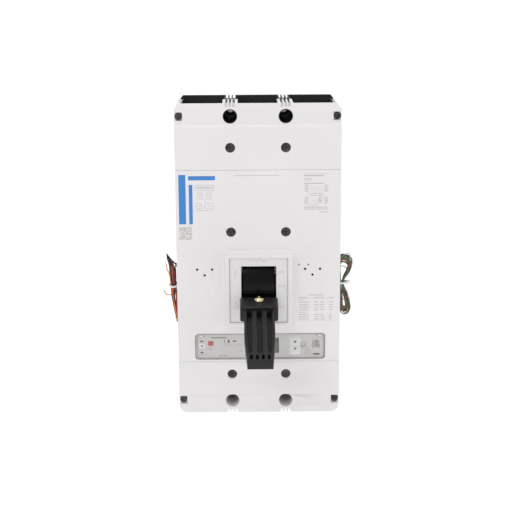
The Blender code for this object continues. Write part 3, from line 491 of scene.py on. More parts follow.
def open_curve(points, spacing):
    """Points along a smooth open curve through the given ones, a spacing apart."""
    ends = [2 * points[0] - points[1], *points, 2 * points[-1] - points[-2]]
    dense = []
    for a, b, c, d in zip(ends, ends[1:], ends[2:], ends[3:]):
        for i in range(24):
            f = i / 24
            square = (2 * a - 5 * b + 4 * c - d) * f**2
            cube = (3 * b - a - 3 * c + d) * f**3
            dense.append(0.5 * (2 * b + (c - a) * f + square + cube))
    dense.append(points[-1])
    kept = [dense[0]]
    for point in dense[1:-1]:
        if (point - kept[-1]).length >= spacing:
            kept.append(point)
    kept.append(dense[-1])
    return kept


def trimmed(points, length):
    """The points up to a length along them."""
    kept, run = [points[0]], 0.0
    for a, b in zip(points, points[1:]):
        step = (b - a).length
        if run + step >= length:
            break
        kept.append(b)
        run += step
    return kept


def wire_curve(name, points, mat):
    data = bpy.data.curves.new(name, "CURVE")
    data.dimensions = "3D"
    data.bevel_depth = WIRE_D / 2
    data.bevel_resolution = 3
    data.use_fill_caps = True
    data.resolution_u = 3
    line = data.splines.new("POLY")
    line.points.add(len(points) - 1)
    for point, co in zip(line.points, points):
        point.co = (*co, 1)
    data.materials.append(mat)
    obj = bpy.data.objects.new(name, data)
    bpy.context.scene.collection.objects.link(obj)
    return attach(obj, "casing")


def bare_tip(name, points, mat):
    """A few millimetres of stripped, tinned strands at a wire's end."""
    end, run = points[-1], (points[-1] - points[-3]).normalized()
    bm = bmesh.new()
    side = run.cross(Vector((0.3, 0.5, 0.8))).normalized()
    up = run.cross(side)
    rings = []
    for at, radius in ((-0.2, 0.34), (0.4, 0.36), (3.4, 0.34), (4.0, 0.22)):
        ring_verts = []
        for i in range(10):
            angle = i * math.tau / 10 + at * 0.3
            out = (side * math.cos(angle) + up * math.sin(angle)) * radius * MM
            ring_verts.append(bm.verts.new(end + run * at * MM + out))
        rings.append(ring_verts)
    for a, b in zip(rings, rings[1:]):
        for i in range(10):
            bm.faces.new((a[i], a[(i + 1) % 10], b[(i + 1) % 10], b[i]))
    bm.faces.new(rings[0])
    bm.faces.new(rings[-1])
    return from_bmesh(name, bm, mat, "casing")


def smooth_step(value):
    value = min(max(value, 0.0), 1.0)
    return value * value * (3 - 2 * value)


def loop_points(oval, per_turn, turns, start, neck, sizes, place):
    """Points round an oval: sizes gives each half turn's size, and place puts each point in space."""
    count = len(oval)
    total = int(turns * per_turn)
    found = []
    for i in range(total + 1):
        t = start + i * count / per_turn
        here = closed_curve(oval, t)
        ahead, behind = closed_curve(oval, t + 0.1), closed_curve(oval, t - 0.1)
        out = Vector((-(ahead - behind).y, (ahead - behind).x)).normalized()
        turn = i / per_turn
        size = sizes(turn, here.y > neck.y)
        away = smooth_step(abs(here.y - neck.y) / 0.018)
        here = neck + (here - neck) * (1 + (size - 1) * away)
        found.append(place(turn, here, out, away))
    return found


def waver(rng):
    """A smooth random line: two slow waves with random phases."""
    a, b, c = rng.uniform(0, math.tau), rng.uniform(0, math.tau), rng.uniform(0.8, 1.2)
    return lambda t: 0.6 * math.sin(math.tau * 1.7 * c * t + a) + 0.4 * math.sin(math.tau * 3.9 * c * t + b)


RIGHT_NECK = Vector((0.1122, -0.0412))
LEFT_NECK = Vector((0.0, -0.0433))
LANE = 1.36 * MM


def right_oval():
    """The line that the right side's wires are wound round, (x, z), clockwise from the notch."""
    points = [(0.1120, -0.0056), (0.1165, -0.0062), (0.1205, -0.0092), (0.1230, -0.0146)]
    points += [(0.1222, -0.0211), (0.1194, -0.0273), (0.1157, -0.0330), (0.1138, -0.0382)]
    points += [(0.1136, -0.0430), (0.1146, -0.0480), (0.1165, -0.0540), (0.1190, -0.0620)]
    points += [(0.1212, -0.0700), (0.1217, -0.0755), (0.1195, -0.0815), (0.1150, -0.0835)]
    points += [(0.1114, -0.0800), (0.1100, -0.0720), (0.1096, -0.0600), (0.1100, -0.0500)]
    points += [(0.1104, -0.0430), (0.1096, -0.0370), (0.1080, -0.0300), (0.1066, -0.0230)]
    return [Vector(p) for p in points + [(0.1066, -0.0140), (0.1082, -0.0080)]]


# A brown lead's end goes once round the bundle's front: across from it in x, in front of it in y, up in z.
RIGHT_WRAP = [(0.1100, -0.0080, -0.0640), (0.1138, -0.0090, -0.0625), (0.1172, -0.0086, -0.0600)]
RIGHT_WRAP += [(0.1190, -0.0078, -0.0555), (0.1177, -0.0084, -0.0512), (0.1143, -0.0088, -0.0490)]
RIGHT_WRAP += [(0.1103, -0.0080, -0.0492), (0.1074, -0.0040, -0.0505), (0.1072, 0.0020, -0.0540)]
RIGHT_WRAP += [(0.1090, 0.0070, -0.0600), (0.1110, 0.0076, -0.0700), (0.1125, 0.0070, -0.0780)]
RIGHT_WRAP += [(0.1150, 0.0072, -0.0825), (0.1180, 0.0074, -0.0790), (0.1172, 0.0076, -0.0700)]
RIGHT_WRAP += [(0.1150, 0.0076, -0.0600), (0.1136, 0.0068, -0.0500), (0.1132, 0.0056, -0.0412)]
RIGHT_WRAP += [(0.1148, 0.0066, -0.0340), (0.1178, 0.0074, -0.0280), (0.1205, 0.0076, -0.0205)]
RIGHT_WRAP += [(0.1208, 0.0076, -0.0140), (0.1180, 0.0072, -0.0090)]


def right_wire(index, colour, mats):
    """A wire out of the right side's notch, wound over the top and down the outside."""
    rng = random.Random(100 + index)
    oval, drift, swing = right_oval(), waver(rng), waver(rng)
    lane = (index - 3.5) * LANE
    upper = [rng.uniform(0.90, 1.02) for _ in range(4)]
    lower = [rng.uniform(0.80, 1.02) for _ in range(4)]
    order = [rng.uniform(-1, 1) for _ in range(4)]
    if colour == "pale_wire":
        upper[:2] = (1.10, 0.64)
    if colour == "green":
        upper[2] = 0.84
    wraps = index == 5

    def sizes(turn, is_upper):
        return (upper if is_upper else lower)[min(int(turn + 0.3), 3)]

    def place(turn, here, out, away):
        layer = (1.6 - 1.1 * turn) * (0.3 + 0.7 * away)
        layer += away * (order[min(int(turn + 0.3), 3)] * 1.2 + swing(turn) * 0.9)
        y = EXIT_Y + lane * (0.9 + 0.3 * away) + away * drift(turn) * 1.6 * MM
        spot = here + out * layer * MM
        return Vector((max(spot.x, SIDE_X + 0.8 * MM), y, spot.y))

    wound = loop_points(oval, 64, 1.66 if wraps else 3.0, 0.0, RIGHT_NECK, sizes, place)
    z = -0.009 + (index // 2 - 1.5) * 1.5 * MM
    y = EXIT_Y + (index % 2 - 0.5) * 1.7 * MM
    start = [Vector((0.1000, y, z)), Vector((0.1048, y, z)), Vector((0.1072, y, z + 0.0004))]
    end = [Vector((x, EXIT_Y + dy, z)) for x, dy, z in RIGHT_WRAP] if wraps else []
    points = open_curve(start + wound[3::2] + end, 1.0 * MM)
    points = trimmed(points, WIRE_LENGTH * rng.uniform(0.97, 1.02))
    return finish_wire(f"right_wire_{index + 1}", points, colour, mats)


def finish_wire(name, points, colour, mats):
    wire = wire_curve(name, points, mats[colour])
    tip = bare_tip(f"{name}_tip", points, mats["tin"])
    return wire


LEFT_EDGES = (
    # height, and the bundle's outer and inner edges there
    (-0.0016, -0.1221, -0.1185),
    (-0.0050, -0.1215, -0.1178),
    (-0.0145, -0.1194, -0.1121),
    (-0.0225, -0.1182, -0.1087),
    (-0.0453, -0.1174, -0.1087),
    (-0.0557, -0.1166, -0.1084),
    (-0.0660, -0.1148, -0.1084),
    (-0.0764, -0.1130, -0.1080),
    (-0.0834, -0.1117, -0.1082),
    (-0.0930, -0.1108, -0.1084),
)
LEFT_WIRES = (
    # colour, place across the bundle above and below the tie, top, bottom, half depth in mm
    ("orange", 0.02, 0.38, -0.0190, -0.0865, 5.3),
    ("black_wire", 0.10, 0.04, -0.0016, -0.0850, 5.3),
    ("black_wire", 0.26, 0.28, -0.0036, -0.0903, 5.0),
    ("grey_wire", 0.40, 0.42, -0.0070, -0.0895, 5.3),
    ("orange", 0.45, 0.92, -0.0115, -0.0955, 5.1),
    ("black_wire", 0.56, 0.58, -0.0095, -0.0920, 5.0),
    ("red_wire", 0.72, 0.70, -0.0125, -0.0840, 5.5),
    ("black_wire", 0.93, 0.93, -0.0195, -0.0905, 5.2),
)
# Where the two orange leads end: one up the outside, and one curled out under the tie (x, y, z).
LEFT_END_UP = [(-0.1166, -0.0066, -0.0360), (-0.1172, -0.0070, -0.0300), (-0.1189, -0.0070, -0.0245)]
LEFT_END_UP += [(-0.1212, -0.0062, -0.0198), (-0.1212, -0.0052, -0.0172), (-0.1221, -0.0040, -0.0140)]
LEFT_END_CURL = [(-0.1138, 0.0010, -0.0425), (-0.1134, -0.0035, -0.0470), (-0.1143, -0.0074, -0.0508)]
LEFT_END_CURL += [(-0.1165, -0.0074, -0.0545), (-0.1203, -0.0056, -0.0556), (-0.1236, -0.0040, -0.0537)]
LEFT_END_CURL += [(-0.1260, -0.0030, -0.0500)]


def left_x(share, z):
    """Across the bundle at a height: two strands with a gap between them below the tie."""
    rows = LEFT_EDGES
    i = max(k for k in range(len(rows) - 1) if k == 0 or rows[k][0] >= z)
    f = min(max((rows[i][0] - z) / (rows[i][0] - rows[i + 1][0]), 0.0), 1.0)
    outer, inner = (a + (b - a) * f for a, b in zip(rows[i][1:], rows[i + 1][1:]))
    apart = share * 0.72 if share < 0.65 else 1 - (1 - share) * 0.4
    share += (apart - share) * smooth_step((-z - 0.047) / 0.012)
    return outer + 0.7 * MM + share * (inner - outer - 1.4 * MM)


def left_oval(top, shade_plug, radius):
    """An upright oval, (y, z), narrowed at the tie."""
    points = arc((0.0, top - radius), radius, 180, 0, 4)
    points += [(radius, -0.0320), (0.0031, -0.0410), (0.0031, -0.0455), (radius * 0.9, -0.0600)]
    points += arc((0.0, shade_plug + radius), radius, 0, -180, 4)
    points += [(-radius * 0.9, -0.0600), (-0.0031, -0.0455), (-0.0031, -0.0410), (-radius, -0.0320)]
    return [Vector(p) for p in points]


def left_wire(index, mats):
    """A wire out of the left side's notch, wound into an upright hank edge on to the front."""
    colour, above, below, top, shade_plug, half = LEFT_WIRES[index]
    rng = random.Random(200 + index)
    drift, swing = waver(rng), waver(rng)
    end, turns = {0: (LEFT_END_UP, 2.74), 4: (LEFT_END_CURL, 2.22)}.get(index, ([], 3.3))

    def sizes(turn, upper):
        return 1.0 - 0.035 * turn

    def place(turn, here, out, away):
        layer = -1.0 * MM * (turn if turn < 1.6 else 3.2 - turn) + away * swing(turn) * 0.5 * MM
        spot = here + out * layer
        share = below + (above - below) * smooth_step((spot.y + 0.052) / 0.016)
        x = left_x(share, spot.y) + away * drift(turn) * 0.55 * MM
        return Vector((min(x, -SIDE_X - 0.8 * MM), EXIT_Y + spot.x, spot.y))

    oval = left_oval(top, shade_plug, half * MM)
    wound = loop_points(oval, 60, turns, 0.6, LEFT_NECK, sizes, place)
    z = -0.0166 + (index // 2 - 1.5) * 1.5 * MM
    y = EXIT_Y + (0.5 - index % 2) * 1.7 * MM
    start = [Vector((-0.1000, y, z)), Vector((-0.1048, y, z)), Vector((-0.1070, y - 0.0006, z + 0.0004))]
    end = [Vector((x, EXIT_Y + dy, z)) for x, dy, z in end]
    points = open_curve(start + wound[5::2] + end, 1.0 * MM)
    points = trimmed(points, WIRE_LENGTH * rng.uniform(0.965, 1.02))
    return finish_wire(f"left_wire_{index + 1}", points, colour, mats)


def make_harnesses(mats):
    right = ["green", "brown", "brown", "pale_wire", "green", "brown", "black_wire", "green_dark"]
    made = [right_wire(i, colour, mats) for i, colour in enumerate(right)]
    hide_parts("right_harness_lead", "right_harness_hank")
    made = [left_wire(i, mats) for i in range(len(LEFT_WIRES))]
    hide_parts("left_harness_lead", "left_harness_hank")


# ---- Cable ties ----
def closed_sweep(bm, path, profile):
    """Sweeps a closed (across, up) profile round a closed path in a level plane."""
    count, rings = len(path), []
    for i, here in enumerate(path):
        run = path[(i + 1) % count] - path[i - 1]
        out = Vector((run.y, -run.x, 0)).normalized()
        rings.append([bm.verts.new(here + out * a + Vector((0, 0, u))) for a, u in profile])
    for i in range(count):
        a, b = rings[i], rings[(i + 1) % count]
        for j in range(len(profile)):
            k = (j + 1) % len(profile)
            bm.faces.new((a[j], a[k], b[k], b[j]))


def box_piece(bm, low, high):
    found = bmesh.ops.create_cube(bm, size=1)["verts"]
    for v in found:
        v.co = Vector(low[i] + (v.co[i] + 0.5) * (high[i] - low[i]) for i in range(3))
    return found


def cable_tie(name, centre, half_x, half_y, head, dip, mat):
    """A nylon tie: a ribbed band, its lock, and the cut tail."""
    outline = rounded(-half_x, half_x, -half_y, half_y, 3.4 * MM, 6)
    path = []
    for x, y in outline:
        sag = -dip * (1 - (x / half_x) ** 2)
        path.append(Vector((centre[0] + x, EXIT_Y + y, centre[1] + sag)))
    thick, high = 0.55 * MM, 1.25 * MM
    profile = [(-thick, -high), (thick * 0.6, -high), (thick, -high * 0.75), (thick, high * 0.75)]
    profile += [(thick * 0.6, high), (-thick, high)]
    bm = bmesh.new()
    closed_sweep(bm, path, profile)
    band = from_bmesh(name, bm, mat, "casing")
    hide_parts(name.replace("_band", ""))
    bm = bmesh.new()
    x, y, z = head
    lock = (2.1 * MM, 2.5 * MM, 2.3 * MM)
    box_piece(bm, (x - lock[0], y - lock[1], z - lock[2]), (x + lock[0], y + lock[1], z + lock[2]))
    round_edges(bm, 0.6 * MM, 3)
    from_bmesh(name.replace("band", "lock"), bm, mat, "casing", "white_nylon")
    bm = bmesh.new()
    slant = Vector((x, y + (0.6 if dip == 0 else 1.2) * MM, z + 0.4 * MM))
    tail = (3.4 * MM, 0.55 * MM, 1.5 * MM)
    far = Vector((tail[0] + 1.2 * MM, tail[1], tail[2]))
    box_piece(bm, slant + Vector((0, -tail[1], -tail[2])), slant + far)
    round_edges(bm, 0.3 * MM, 2)
    from_bmesh(name.replace("band", "tail"), bm, mat, "casing", "white_nylon")


def make_ties(mats):
    x, z = RIGHT_NECK
    head = (x + 6.9 * MM, EXIT_Y, z + 0.4 * MM)
    cable_tie("right_cable_tie_band", (x, z), 5.1 * MM, 6.9 * MM, head, 0.0, mats["nylon"])
    x, z = -0.1135, LEFT_NECK.y
    head = (x, EXIT_Y + 8.9 * MM, z)
    cable_tie("left_cable_tie_band", (x, z), 5.2 * MM, 6.9 * MM, head, 1.3 * MM, mats["nylon"])


# ---- Casing and handle ----
FINISHES = (
    # node, material, body, edge radius in mm, material slot
    ("base", "black", "casing", 0.35, "black_moulding"),
    ("main_cover", "pale", "casing", 0.60, "pale_moulding"),
    ("line_terminal_cover", "pale", "casing", 0.60, "pale_moulding"),
    ("load_terminal_cover", "pale", "casing", 0.60, "pale_moulding"),
    ("escutcheon", "panel", "casing", 0.35, "pale_moulding"),
    ("trip_unit_faceplate", "label", "casing", 0.25, "panel_grey"),
    ("trip_unit_housing", "module", "casing", 0.30, "module_grey"),
    ("toggle_handle", "gloss", "handle", 0.50, "black_moulding"),
    ("handle_extension", "lever", "handle", 0.55, "black_moulding"),
    ("clear_cover", "clear", "clear_cover", 0.20, "clear_cover"),
    ("trip_button", "red", "trip_button", 0.30, "red_button"),
    ("key_up", "key", "key_up", 0.20, "key_white"),
    ("key_down", "key", "key_down", 0.20, "key_white"),
    ("key_enter", "label", "key_enter", 0.20, "panel_grey"),
)
PAINTED = (
    # material, and the start of the names of the nodes that it covers
    ("copper", ("contact_arm", "line_conductor", "load_conductor")),
    ("braid", ("shunt",)),
    ("board", ("arc_chute",)),
    ("steel", ("mechanism_frame", "cradle", "upper_toggle", "lower_toggle", "trip_bar")),
    ("spring", ("operating_spring",)),
    ("black", ("crossbar",)),
    ("module", ("current_transformer", "accessory_module")),
    ("display", ("display",)),
)


def finish_nodes(mats):
    """Rounds the edges of the parts that show, and gives the hidden ones their materials."""
    for node, mat, body, width, slot in FINISHES:
        refined(node, mats[mat], body, width * MM, 3, slot)
    for mat, starts in PAINTED:
        for name, node in NODES.items():
            if name.startswith(starts):
                node.data.materials.clear()
                node.data.materials.append(mats[mat])


def turned(bm, profile, centre, steps=40):
    """A solid turned about a line along Y through a centre, from (radius, y) points on a closed outline."""
    rings = []
    for radius, y in profile:
        if radius == 0:
            rings.append([bm.verts.new((centre[0], y, centre[1]))])
            continue
        points = arc(centre, radius, 0, 360 - 360 / steps, steps - 1)
        rings.append([bm.verts.new((x, y, z)) for x, z in points])
    for a, b in zip(rings, rings[1:]):
        for i in range(steps):
            j = (i + 1) % steps
            corners = [a[i % len(a)], a[j % len(a)], b[j % len(b)], b[i % len(b)]]
            bm.faces.new(list(dict.fromkeys(corners)))


def carved(name, body_bm, tool_bm, mat, body, slot, angle=32):
    """One mesh minus another, as a piece."""
    made = from_bmesh(name, body_bm, mat, body, slot, angle)
    tool_mesh = bpy.data.meshes.new("tool")
    bmesh.ops.recalc_face_normals(tool_bm, faces=tool_bm.faces)
    tool_bm.to_mesh(tool_mesh)
    tool_bm.free()
    tool = bpy.data.objects.new("tool", tool_mesh)
    bpy.context.scene.collection.objects.link(tool)
    cut = made.modifiers.new("cut", "BOOLEAN")
    cut.operation = "DIFFERENCE"
    cut.solver = "EXACT"
    cut.object = tool
    bpy.context.view_layer.update()
    graph = bpy.context.evaluated_depsgraph_get()
    mesh = bpy.data.meshes.new_from_object(made.evaluated_get(graph))
    made.modifiers.clear()
    made.data = mesh
    mesh.set_sharp_from_angle(angle=math.radians(angle))
    bpy.data.objects.remove(tool)
    return made


def cross_tool(bm, centre, arm, half_width, front, back):
    """The cross of a driver, tapering towards its end."""
    rings = []
    for y, size in ((front, 1.0), (back, 0.62)):
        ring_verts = []
        for quarter in range(4):
            turn = Matrix.Rotation(quarter * math.pi / 2, 2)
            for corner in ((arm, -half_width), (arm, half_width), (half_width, half_width)):
                point = turn @ Vector(corner) * size
                ring_verts.append(bm.verts.new((centre[0] + point.x, y, centre[1] + point.y)))
        rings.append(ring_verts)
    bm.faces.new(rings[0])
    bm.faces.new(rings[1])
    for i in range(12):
        j = (i + 1) % 12
        bm.faces.new((rings[0][i], rings[0][j], rings[1][j], rings[1][i]))


def cover_screw(node, mats):
    """A blackened screw: a chamfered head with a raised rim, a dished top and a cross."""
    low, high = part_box(node)
    x, z = (low.x + high.x) / 2, (low.z + high.z) / 2
    r, front, back = (high.x - low.x) / 2, low.y, high.y
    shank = r * 0.62
    profile = [(0, front + 0.7 * MM), (r * 0.60, front + 0.75 * MM), (r * 0.68, front + 0.10 * MM)]
    profile += [(r * 0.72, front), (r * 0.78, front + 0.05 * MM), (r * 0.98, front + 1.0 * MM)]
    profile += [(r, front + 1.3 * MM), (r, front + 3.6 * MM), (shank, front + 3.8 * MM)]
    profile += [(shank, back), (0, back)]
    body = bmesh.new()
    turned(body, profile, (x, z))
    tool = bmesh.new()
    cross_tool(tool, (x, z), r * 0.58, r * 0.14, front - 0.5 * MM, front + 3.2 * MM)
    made = carved(f"{node}_finish", body, tool, mats["screw"], "casing", "dark_steel")
    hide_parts(node)


def make_screws(mats):
    for name in NODES:
        if name.endswith(("_screw_left", "_screw_right")):
            cover_screw(name, mats)


def on_handle(x, s, h):
    """A point on the resting handle: along it from the axis, and above its middle line."""
    along = Vector((0, -math.cos(HANDLE_OFF), -math.sin(HANDLE_OFF)))
    up = Vector((0, -math.sin(HANDLE_OFF), math.cos(HANDLE_OFF)))
    return HANDLE_AXIS + Vector((x, 0, 0)) + along * s + up * h


def extension_screw(mats):
    """The yellow-zinc pan head on the handle, with its washer face and cross slot."""
    r, low, high = 6.0 * MM, 18.3 * MM, 22.6 * MM
    s = 0.0852
    # built round Y with its top towards -Y, then turned onto the handle
    dome = [(r * math.sin(a), -(low + 1.2 * MM + (high - low - 1.2 * MM) * math.cos(a)))
            for a in (math.radians(d) for d in range(10, 90, 10))]
    profile = [(0, -high)] + dome + [(r, -(low + 1.0 * MM)), (r * 0.97, -low), (0, -low)]
    body = bmesh.new()
    turned(body, profile, (0, 0), 48)
    tool = bmesh.new()
    cross_tool(tool, (0, 0), r * 0.60, r * 0.15, -high - 1 * MM, -high + 2.4 * MM)
    made = carved("extension_screw_finish", body, tool, mats["zinc"], "handle", "yellow_zinc", 40)
    made.data.transform(Matrix.Rotation(HANDLE_OFF, 4, "X").to_4x4())
    made.data.transform(Matrix.Rotation(-math.pi / 2, 4, "X"))
    made.data.transform(Matrix.Translation(on_handle(0, s, 0)))
    made.data.update()
    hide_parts("extension_screw")


# ---- Print on the covers ----
def table_rows(x_columns, rows, height, rng):
    """Short words in columns: x_columns holds (from, to) and rows their heights."""
    marks = []
    for z in rows:
        for x0, x1 in x_columns:
            marks += words(x0, x1, z, height, rng)
    return marks


def print_front(mats):
    rng = random.Random(11)
    y = FACE_Y
    blue = [rect(-0.1006, -0.0917, 0.0511, 0.1144), rect(-0.0877, -0.0831, 0.0510, 0.1017)]
    blue.append(rounded(-0.0884, -0.0543, 0.1074, 0.1128, 0.0012))
    printed("print_blue", blue, y, mats["blue"])
    # plain marks where the type number and approvals are
    marks = [frame_mark(-0.0800, -0.0560, 0.0945, 0.1012, 0.5 * MM, 1.2 * MM)]
    marks += words(-0.0780, -0.0580, 0.0979, 1.6 * MM, rng)
    for x, z, r in ((-0.0735, 0.0893, 0.0034), (-0.0622, 0.0893, 0.0034), (-0.0754, 0.0745, 0.0040)):
        marks.append(ring(x, z, r, 0.55 * MM))
        marks.append(rect(x - r * 0.45, x + r * 0.45, z - 0.3 * MM, z + 0.3 * MM))
    marks.append(frame_mark(-0.0685, -0.0560, 0.0707, 0.0785, 0.5 * MM, 3.7 * MM))
    marks.append(rect(-0.0650, -0.0595, 0.0743, 0.0749))
    for x0, x1, z in ((-0.0795, -0.0690, 0.0838), (-0.0670, -0.0570, 0.0838), (-0.0795, -0.0565, 0.0688)):
        marks += words(x0, x1, z, 0.6 * MM, rng)
    marks += cells(-0.1012, 0.0308, 0.0168, 21, rng)
    printed("print_marks", marks, y, mats["grey"])
    marks = words(-0.0304, 0.0262, 0.1131, 0.75 * MM, rng, 0.35)
    # ratings, top right
    marks += [rect(0.0579, 0.0895, 0.1144, 0.1147)]
    marks += words(0.0582, 0.0830, 0.1127, 1.5 * MM, rng, 0.3)
    marks += table_rows([(0.0582, 0.0675)], (0.1086, 0.1068), 0.8 * MM, rng)
    marks += words(0.0582, 0.0829, 0.1026, 1.3 * MM, rng, 0.35)
    for top in (0.1003, 0.0846):
        rows = [top - i * 1.9 * MM for i in range(5)]
        marks += table_rows([(0.0586, 0.0640)], rows, 1.0 * MM, rng)
        marks += table_rows([(0.0838, 0.0885)], rows, 1.0 * MM, rng)
        marks += [rect(0.0660, 0.0825, z - 0.12 * MM, z + 0.12 * MM) for z in rows[1:]]
    marks += table_rows([(0.0765, 0.0805)], (0.0846, 0.0827, 0.0808, 0.0789), 1.0 * MM, rng)
    marks += table_rows([(0.0640, 0.0835)], (0.0898, 0.0873), 0.9 * MM, rng)
    marks += table_rows([(0.0630, 0.0750)], (0.0749,), 0.8 * MM, rng)
    marks += table_rows([(0.0582, 0.0885)], (0.0722, 0.0697), 1.2 * MM, rng)
    marks += table_rows([(0.0775, 0.0885)], (0.0659,), 1.1 * MM, rng)
    # terminal screw table, lower right
    marks += words(0.0645, 0.0840, -0.0428, 1.2 * MM, rng, 0.35)
    marks += table_rows([(0.0515, 0.0625), (0.0718, 0.0850), (0.0905, 0.0964)], (-0.0461,), 1.0 * MM, rng)
    marks += [rect(0.0507, 0.0967, -0.0474, -0.0471), rect(0.0507, 0.0967, -0.0774, -0.0771)]
    marks += words(0.0515, 0.0590, -0.0494, 0.9 * MM, rng)
    rows = (-0.0523, -0.0558, -0.0591, -0.0625, -0.0689, -0.0720, -0.0750)
    columns = [(0.0520, 0.0650), (0.0716, 0.0780), (0.0795, 0.0850), (0.0908, 0.0960)]
    marks += table_rows(columns, rows, 1.2 * MM, rng)
    marks += words(0.0515, 0.0610, -0.0658, 0.9 * MM, rng)
    printed("print_tables", marks, y, mats["faint"])


def painted_hole_shade(mats):
    """Black discs set a little inside the small test holes in the main cover: painted shade for the hollow
    behind each hole, together with the black base that shows beyond it.
    """
    for number, (x, z, r) in enumerate(TEST_HOLES, 1):
        bm = bmesh.new()
        slab(bm, arc((x, z), r, 0, 345, 23), FACE_Y + 1.2 * MM, FACE_Y + 2.2 * MM)
        from_bmesh(f"test_hole_{number}_bottom", bm, mats["black"], "casing", "black_moulding")


def print_panel(mats):
    """Positions and switch symbols round the handle's window."""
    y, mat = PANEL_Y, mats["faint"]
    marks = [stroke([(-0.0110, 0.0048), (-0.0035, 0.0048), (0.0025, 0.0083)], 0.35 * MM)]
    marks += [rect(0.0030, 0.0042, 0.0046, 0.0050), rect(0.0050, 0.0090, 0.0042, 0.0054)]
    marks += [rect(-0.0302, -0.0292, -0.0128, -0.0072), rect(-0.0302, -0.0290, -0.0162, -0.0150)]
    marks += [ring(-0.0295, -0.0560, 2.8 * MM, 0.8 * MM), rect(-0.0301, -0.0290, -0.0505, -0.0478)]
    printed("print_panel_symbols", marks, y, mats["grey_pale"])
    for text, x, z in (("ON", 0.0288, -0.0100), ("TRIP", 0.0296, -0.0283), ("OFF", 0.0292, -0.0560)):
        lettering(f"print_{text.lower()}", text, x, z, 4.9 * MM, y, mat)


def print_label(mats):
    """The trip unit's label, seen through its clear cover."""
    rng = random.Random(23)
    y = LABEL_Y
    dark, grey = [], []
    dark.append(frame_mark(-0.0800, 0.0848, -0.1281, -0.0952, 0.45 * MM, 2.6 * MM))
    dark += words(-0.0618, -0.0425, -0.1002, 1.2 * MM, rng, 0.25)
    for z in (-0.1049, -0.1202):
        dark.append(rounded(-0.0764, -0.0722, z - 0.9 * MM, z + 0.9 * MM, 0.4 * MM))
    dark.append(arc((-0.0742, -0.1113), 1.2 * MM, 0, 345, 22))
    grey += words(-0.0780, -0.0690, -0.1154, 0.5 * MM, rng)
    grey += words(-0.0785, -0.0665, -0.1228, 0.7 * MM, rng)
    grey += words(-0.0785, -0.0720, -0.1249, 0.6 * MM, rng)
    grey += words(-0.0655, -0.0608, -0.1142, 1.0 * MM, rng) + words(-0.0650, -0.0612, -0.1160, 1.0 * MM, rng)
    grey.append(frame_mark(-0.0482, -0.0208, -0.1128, -0.1010, 0.25 * MM))
    dark += [rect(-0.0452, -0.0446, -0.1075, -0.1030), rect(-0.0446, -0.0432, -0.1075, -0.1070)]
    dark.append(rounded(-0.0405, -0.0382, -0.1075, -0.1033, 0.3 * MM))
    dark.append(rounded(-0.0340, -0.0298, -0.1060, -0.1040, 0.3 * MM))
    grey += table_rows([(-0.0440, -0.0350), (-0.0325, -0.0215)], (-0.1092, -0.1112), 0.7 * MM, rng)
    curve = [(-0.0510 + 0.0205 * i / 10, -0.1163 + 0.0016 * math.sin(math.pi * i / 10)) for i in range(11)]
    grey.append(stroke(curve, 0.25 * MM))
    curve = [(-0.0510, -0.1163), (-0.0430, -0.1188), (-0.0335, -0.1188), (-0.0305, -0.1163)]
    grey.append(stroke(curve, 0.25 * MM))
    grey += words(-0.0300, -0.0205, -0.1182, 0.9 * MM, rng)
    dark += [rect(-0.0520, -0.0497, -0.1246, -0.1242), rect(-0.0492, -0.0486, -0.1252, -0.1236)]
    dark += [rect(-0.0460, -0.0450, -0.1250, -0.1238), rect(-0.0445, -0.0424, -0.1247, -0.1242)]
    # right-hand end
    grey += words(0.0595, 0.0675, -0.1168, 1.0 * MM, rng) + words(0.0595, 0.0660, -0.1190, 1.0 * MM, rng)
    grey += words(0.0595, 0.0668, -0.1212, 1.0 * MM, rng) + words(0.0595, 0.0655, -0.1234, 1.0 * MM, rng)
    grey += words(0.0690, 0.0790, -0.1020, 0.9 * MM, rng) + words(0.0730, 0.0770, -0.1262, 0.6 * MM, rng)
    printed("label_code", cells(0.0692, -0.1143, 0.0102, 16, rng), y, mats["code"])
    dark.append(rounded(0.0708, 0.0792, -0.1240, -0.1222, 0.8 * MM))
    dark.append([(-0.0722, -0.0972), (-0.0700, -0.0981), (-0.0722, -0.0990)])
    dark.append([(0.0760, -0.0964), (0.0738, -0.0974), (0.0760, -0.0984)])
    printed("label_dark_print", dark, y, mats["dark"])
    printed("label_grey_print", grey, y, mats["grey"])
    pale = [rounded(-0.0782, -0.0702, -0.1148, -0.1083, 1.2 * MM)]
    pale += [rounded(0.0400, 0.0542, -0.1240, -0.0995, 0.6 * MM)]
    pale.append(rounded(-0.0772, -0.0722, -0.0998, -0.0966, 1.5 * MM))
    pale.append(rounded(0.0770, 0.0818, -0.0998, -0.0966, 1.5 * MM))
    edges = [frame_mark(-0.0774, -0.0720, -0.1000, -0.0964, 0.3 * MM, 1.6 * MM)]
    edges.append(frame_mark(0.0768, 0.0820, -0.1000, -0.0964, 0.3 * MM, 1.6 * MM))
    printed("latch_outlines", edges, y + 0.01 * MM, mats["dark"])
    printed("label_pale_print", pale, y + 0.02 * MM, mats["key"])
    for node, z, up in (("key_up", -0.1058, 1), ("key_down", -0.1160, -1)):
        x = middle(node).x
        shape = [(x - 0.0020, z - 0.0016 * up), (x + 0.0020, z - 0.0016 * up), (x, z + 0.0019 * up)]
        printed(f"{node}_arrow", [shape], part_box(node)[0].y, mats["dark"], node)
    x, z = middle("key_enter").x, middle("key_enter").z
    line = stroke([(x + 0.0027, z + 0.0016), (x + 0.0027, z - 0.0008), (x - 0.0010, z - 0.0008)], 0.7 * MM)
    head = [(x - 0.0027, z - 0.0008), (x - 0.0007, z + 0.0006), (x - 0.0007, z - 0.0022)]
    printed("key_enter_arrow", [line, head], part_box("key_enter")[0].y, mats["dark"], "key_enter")


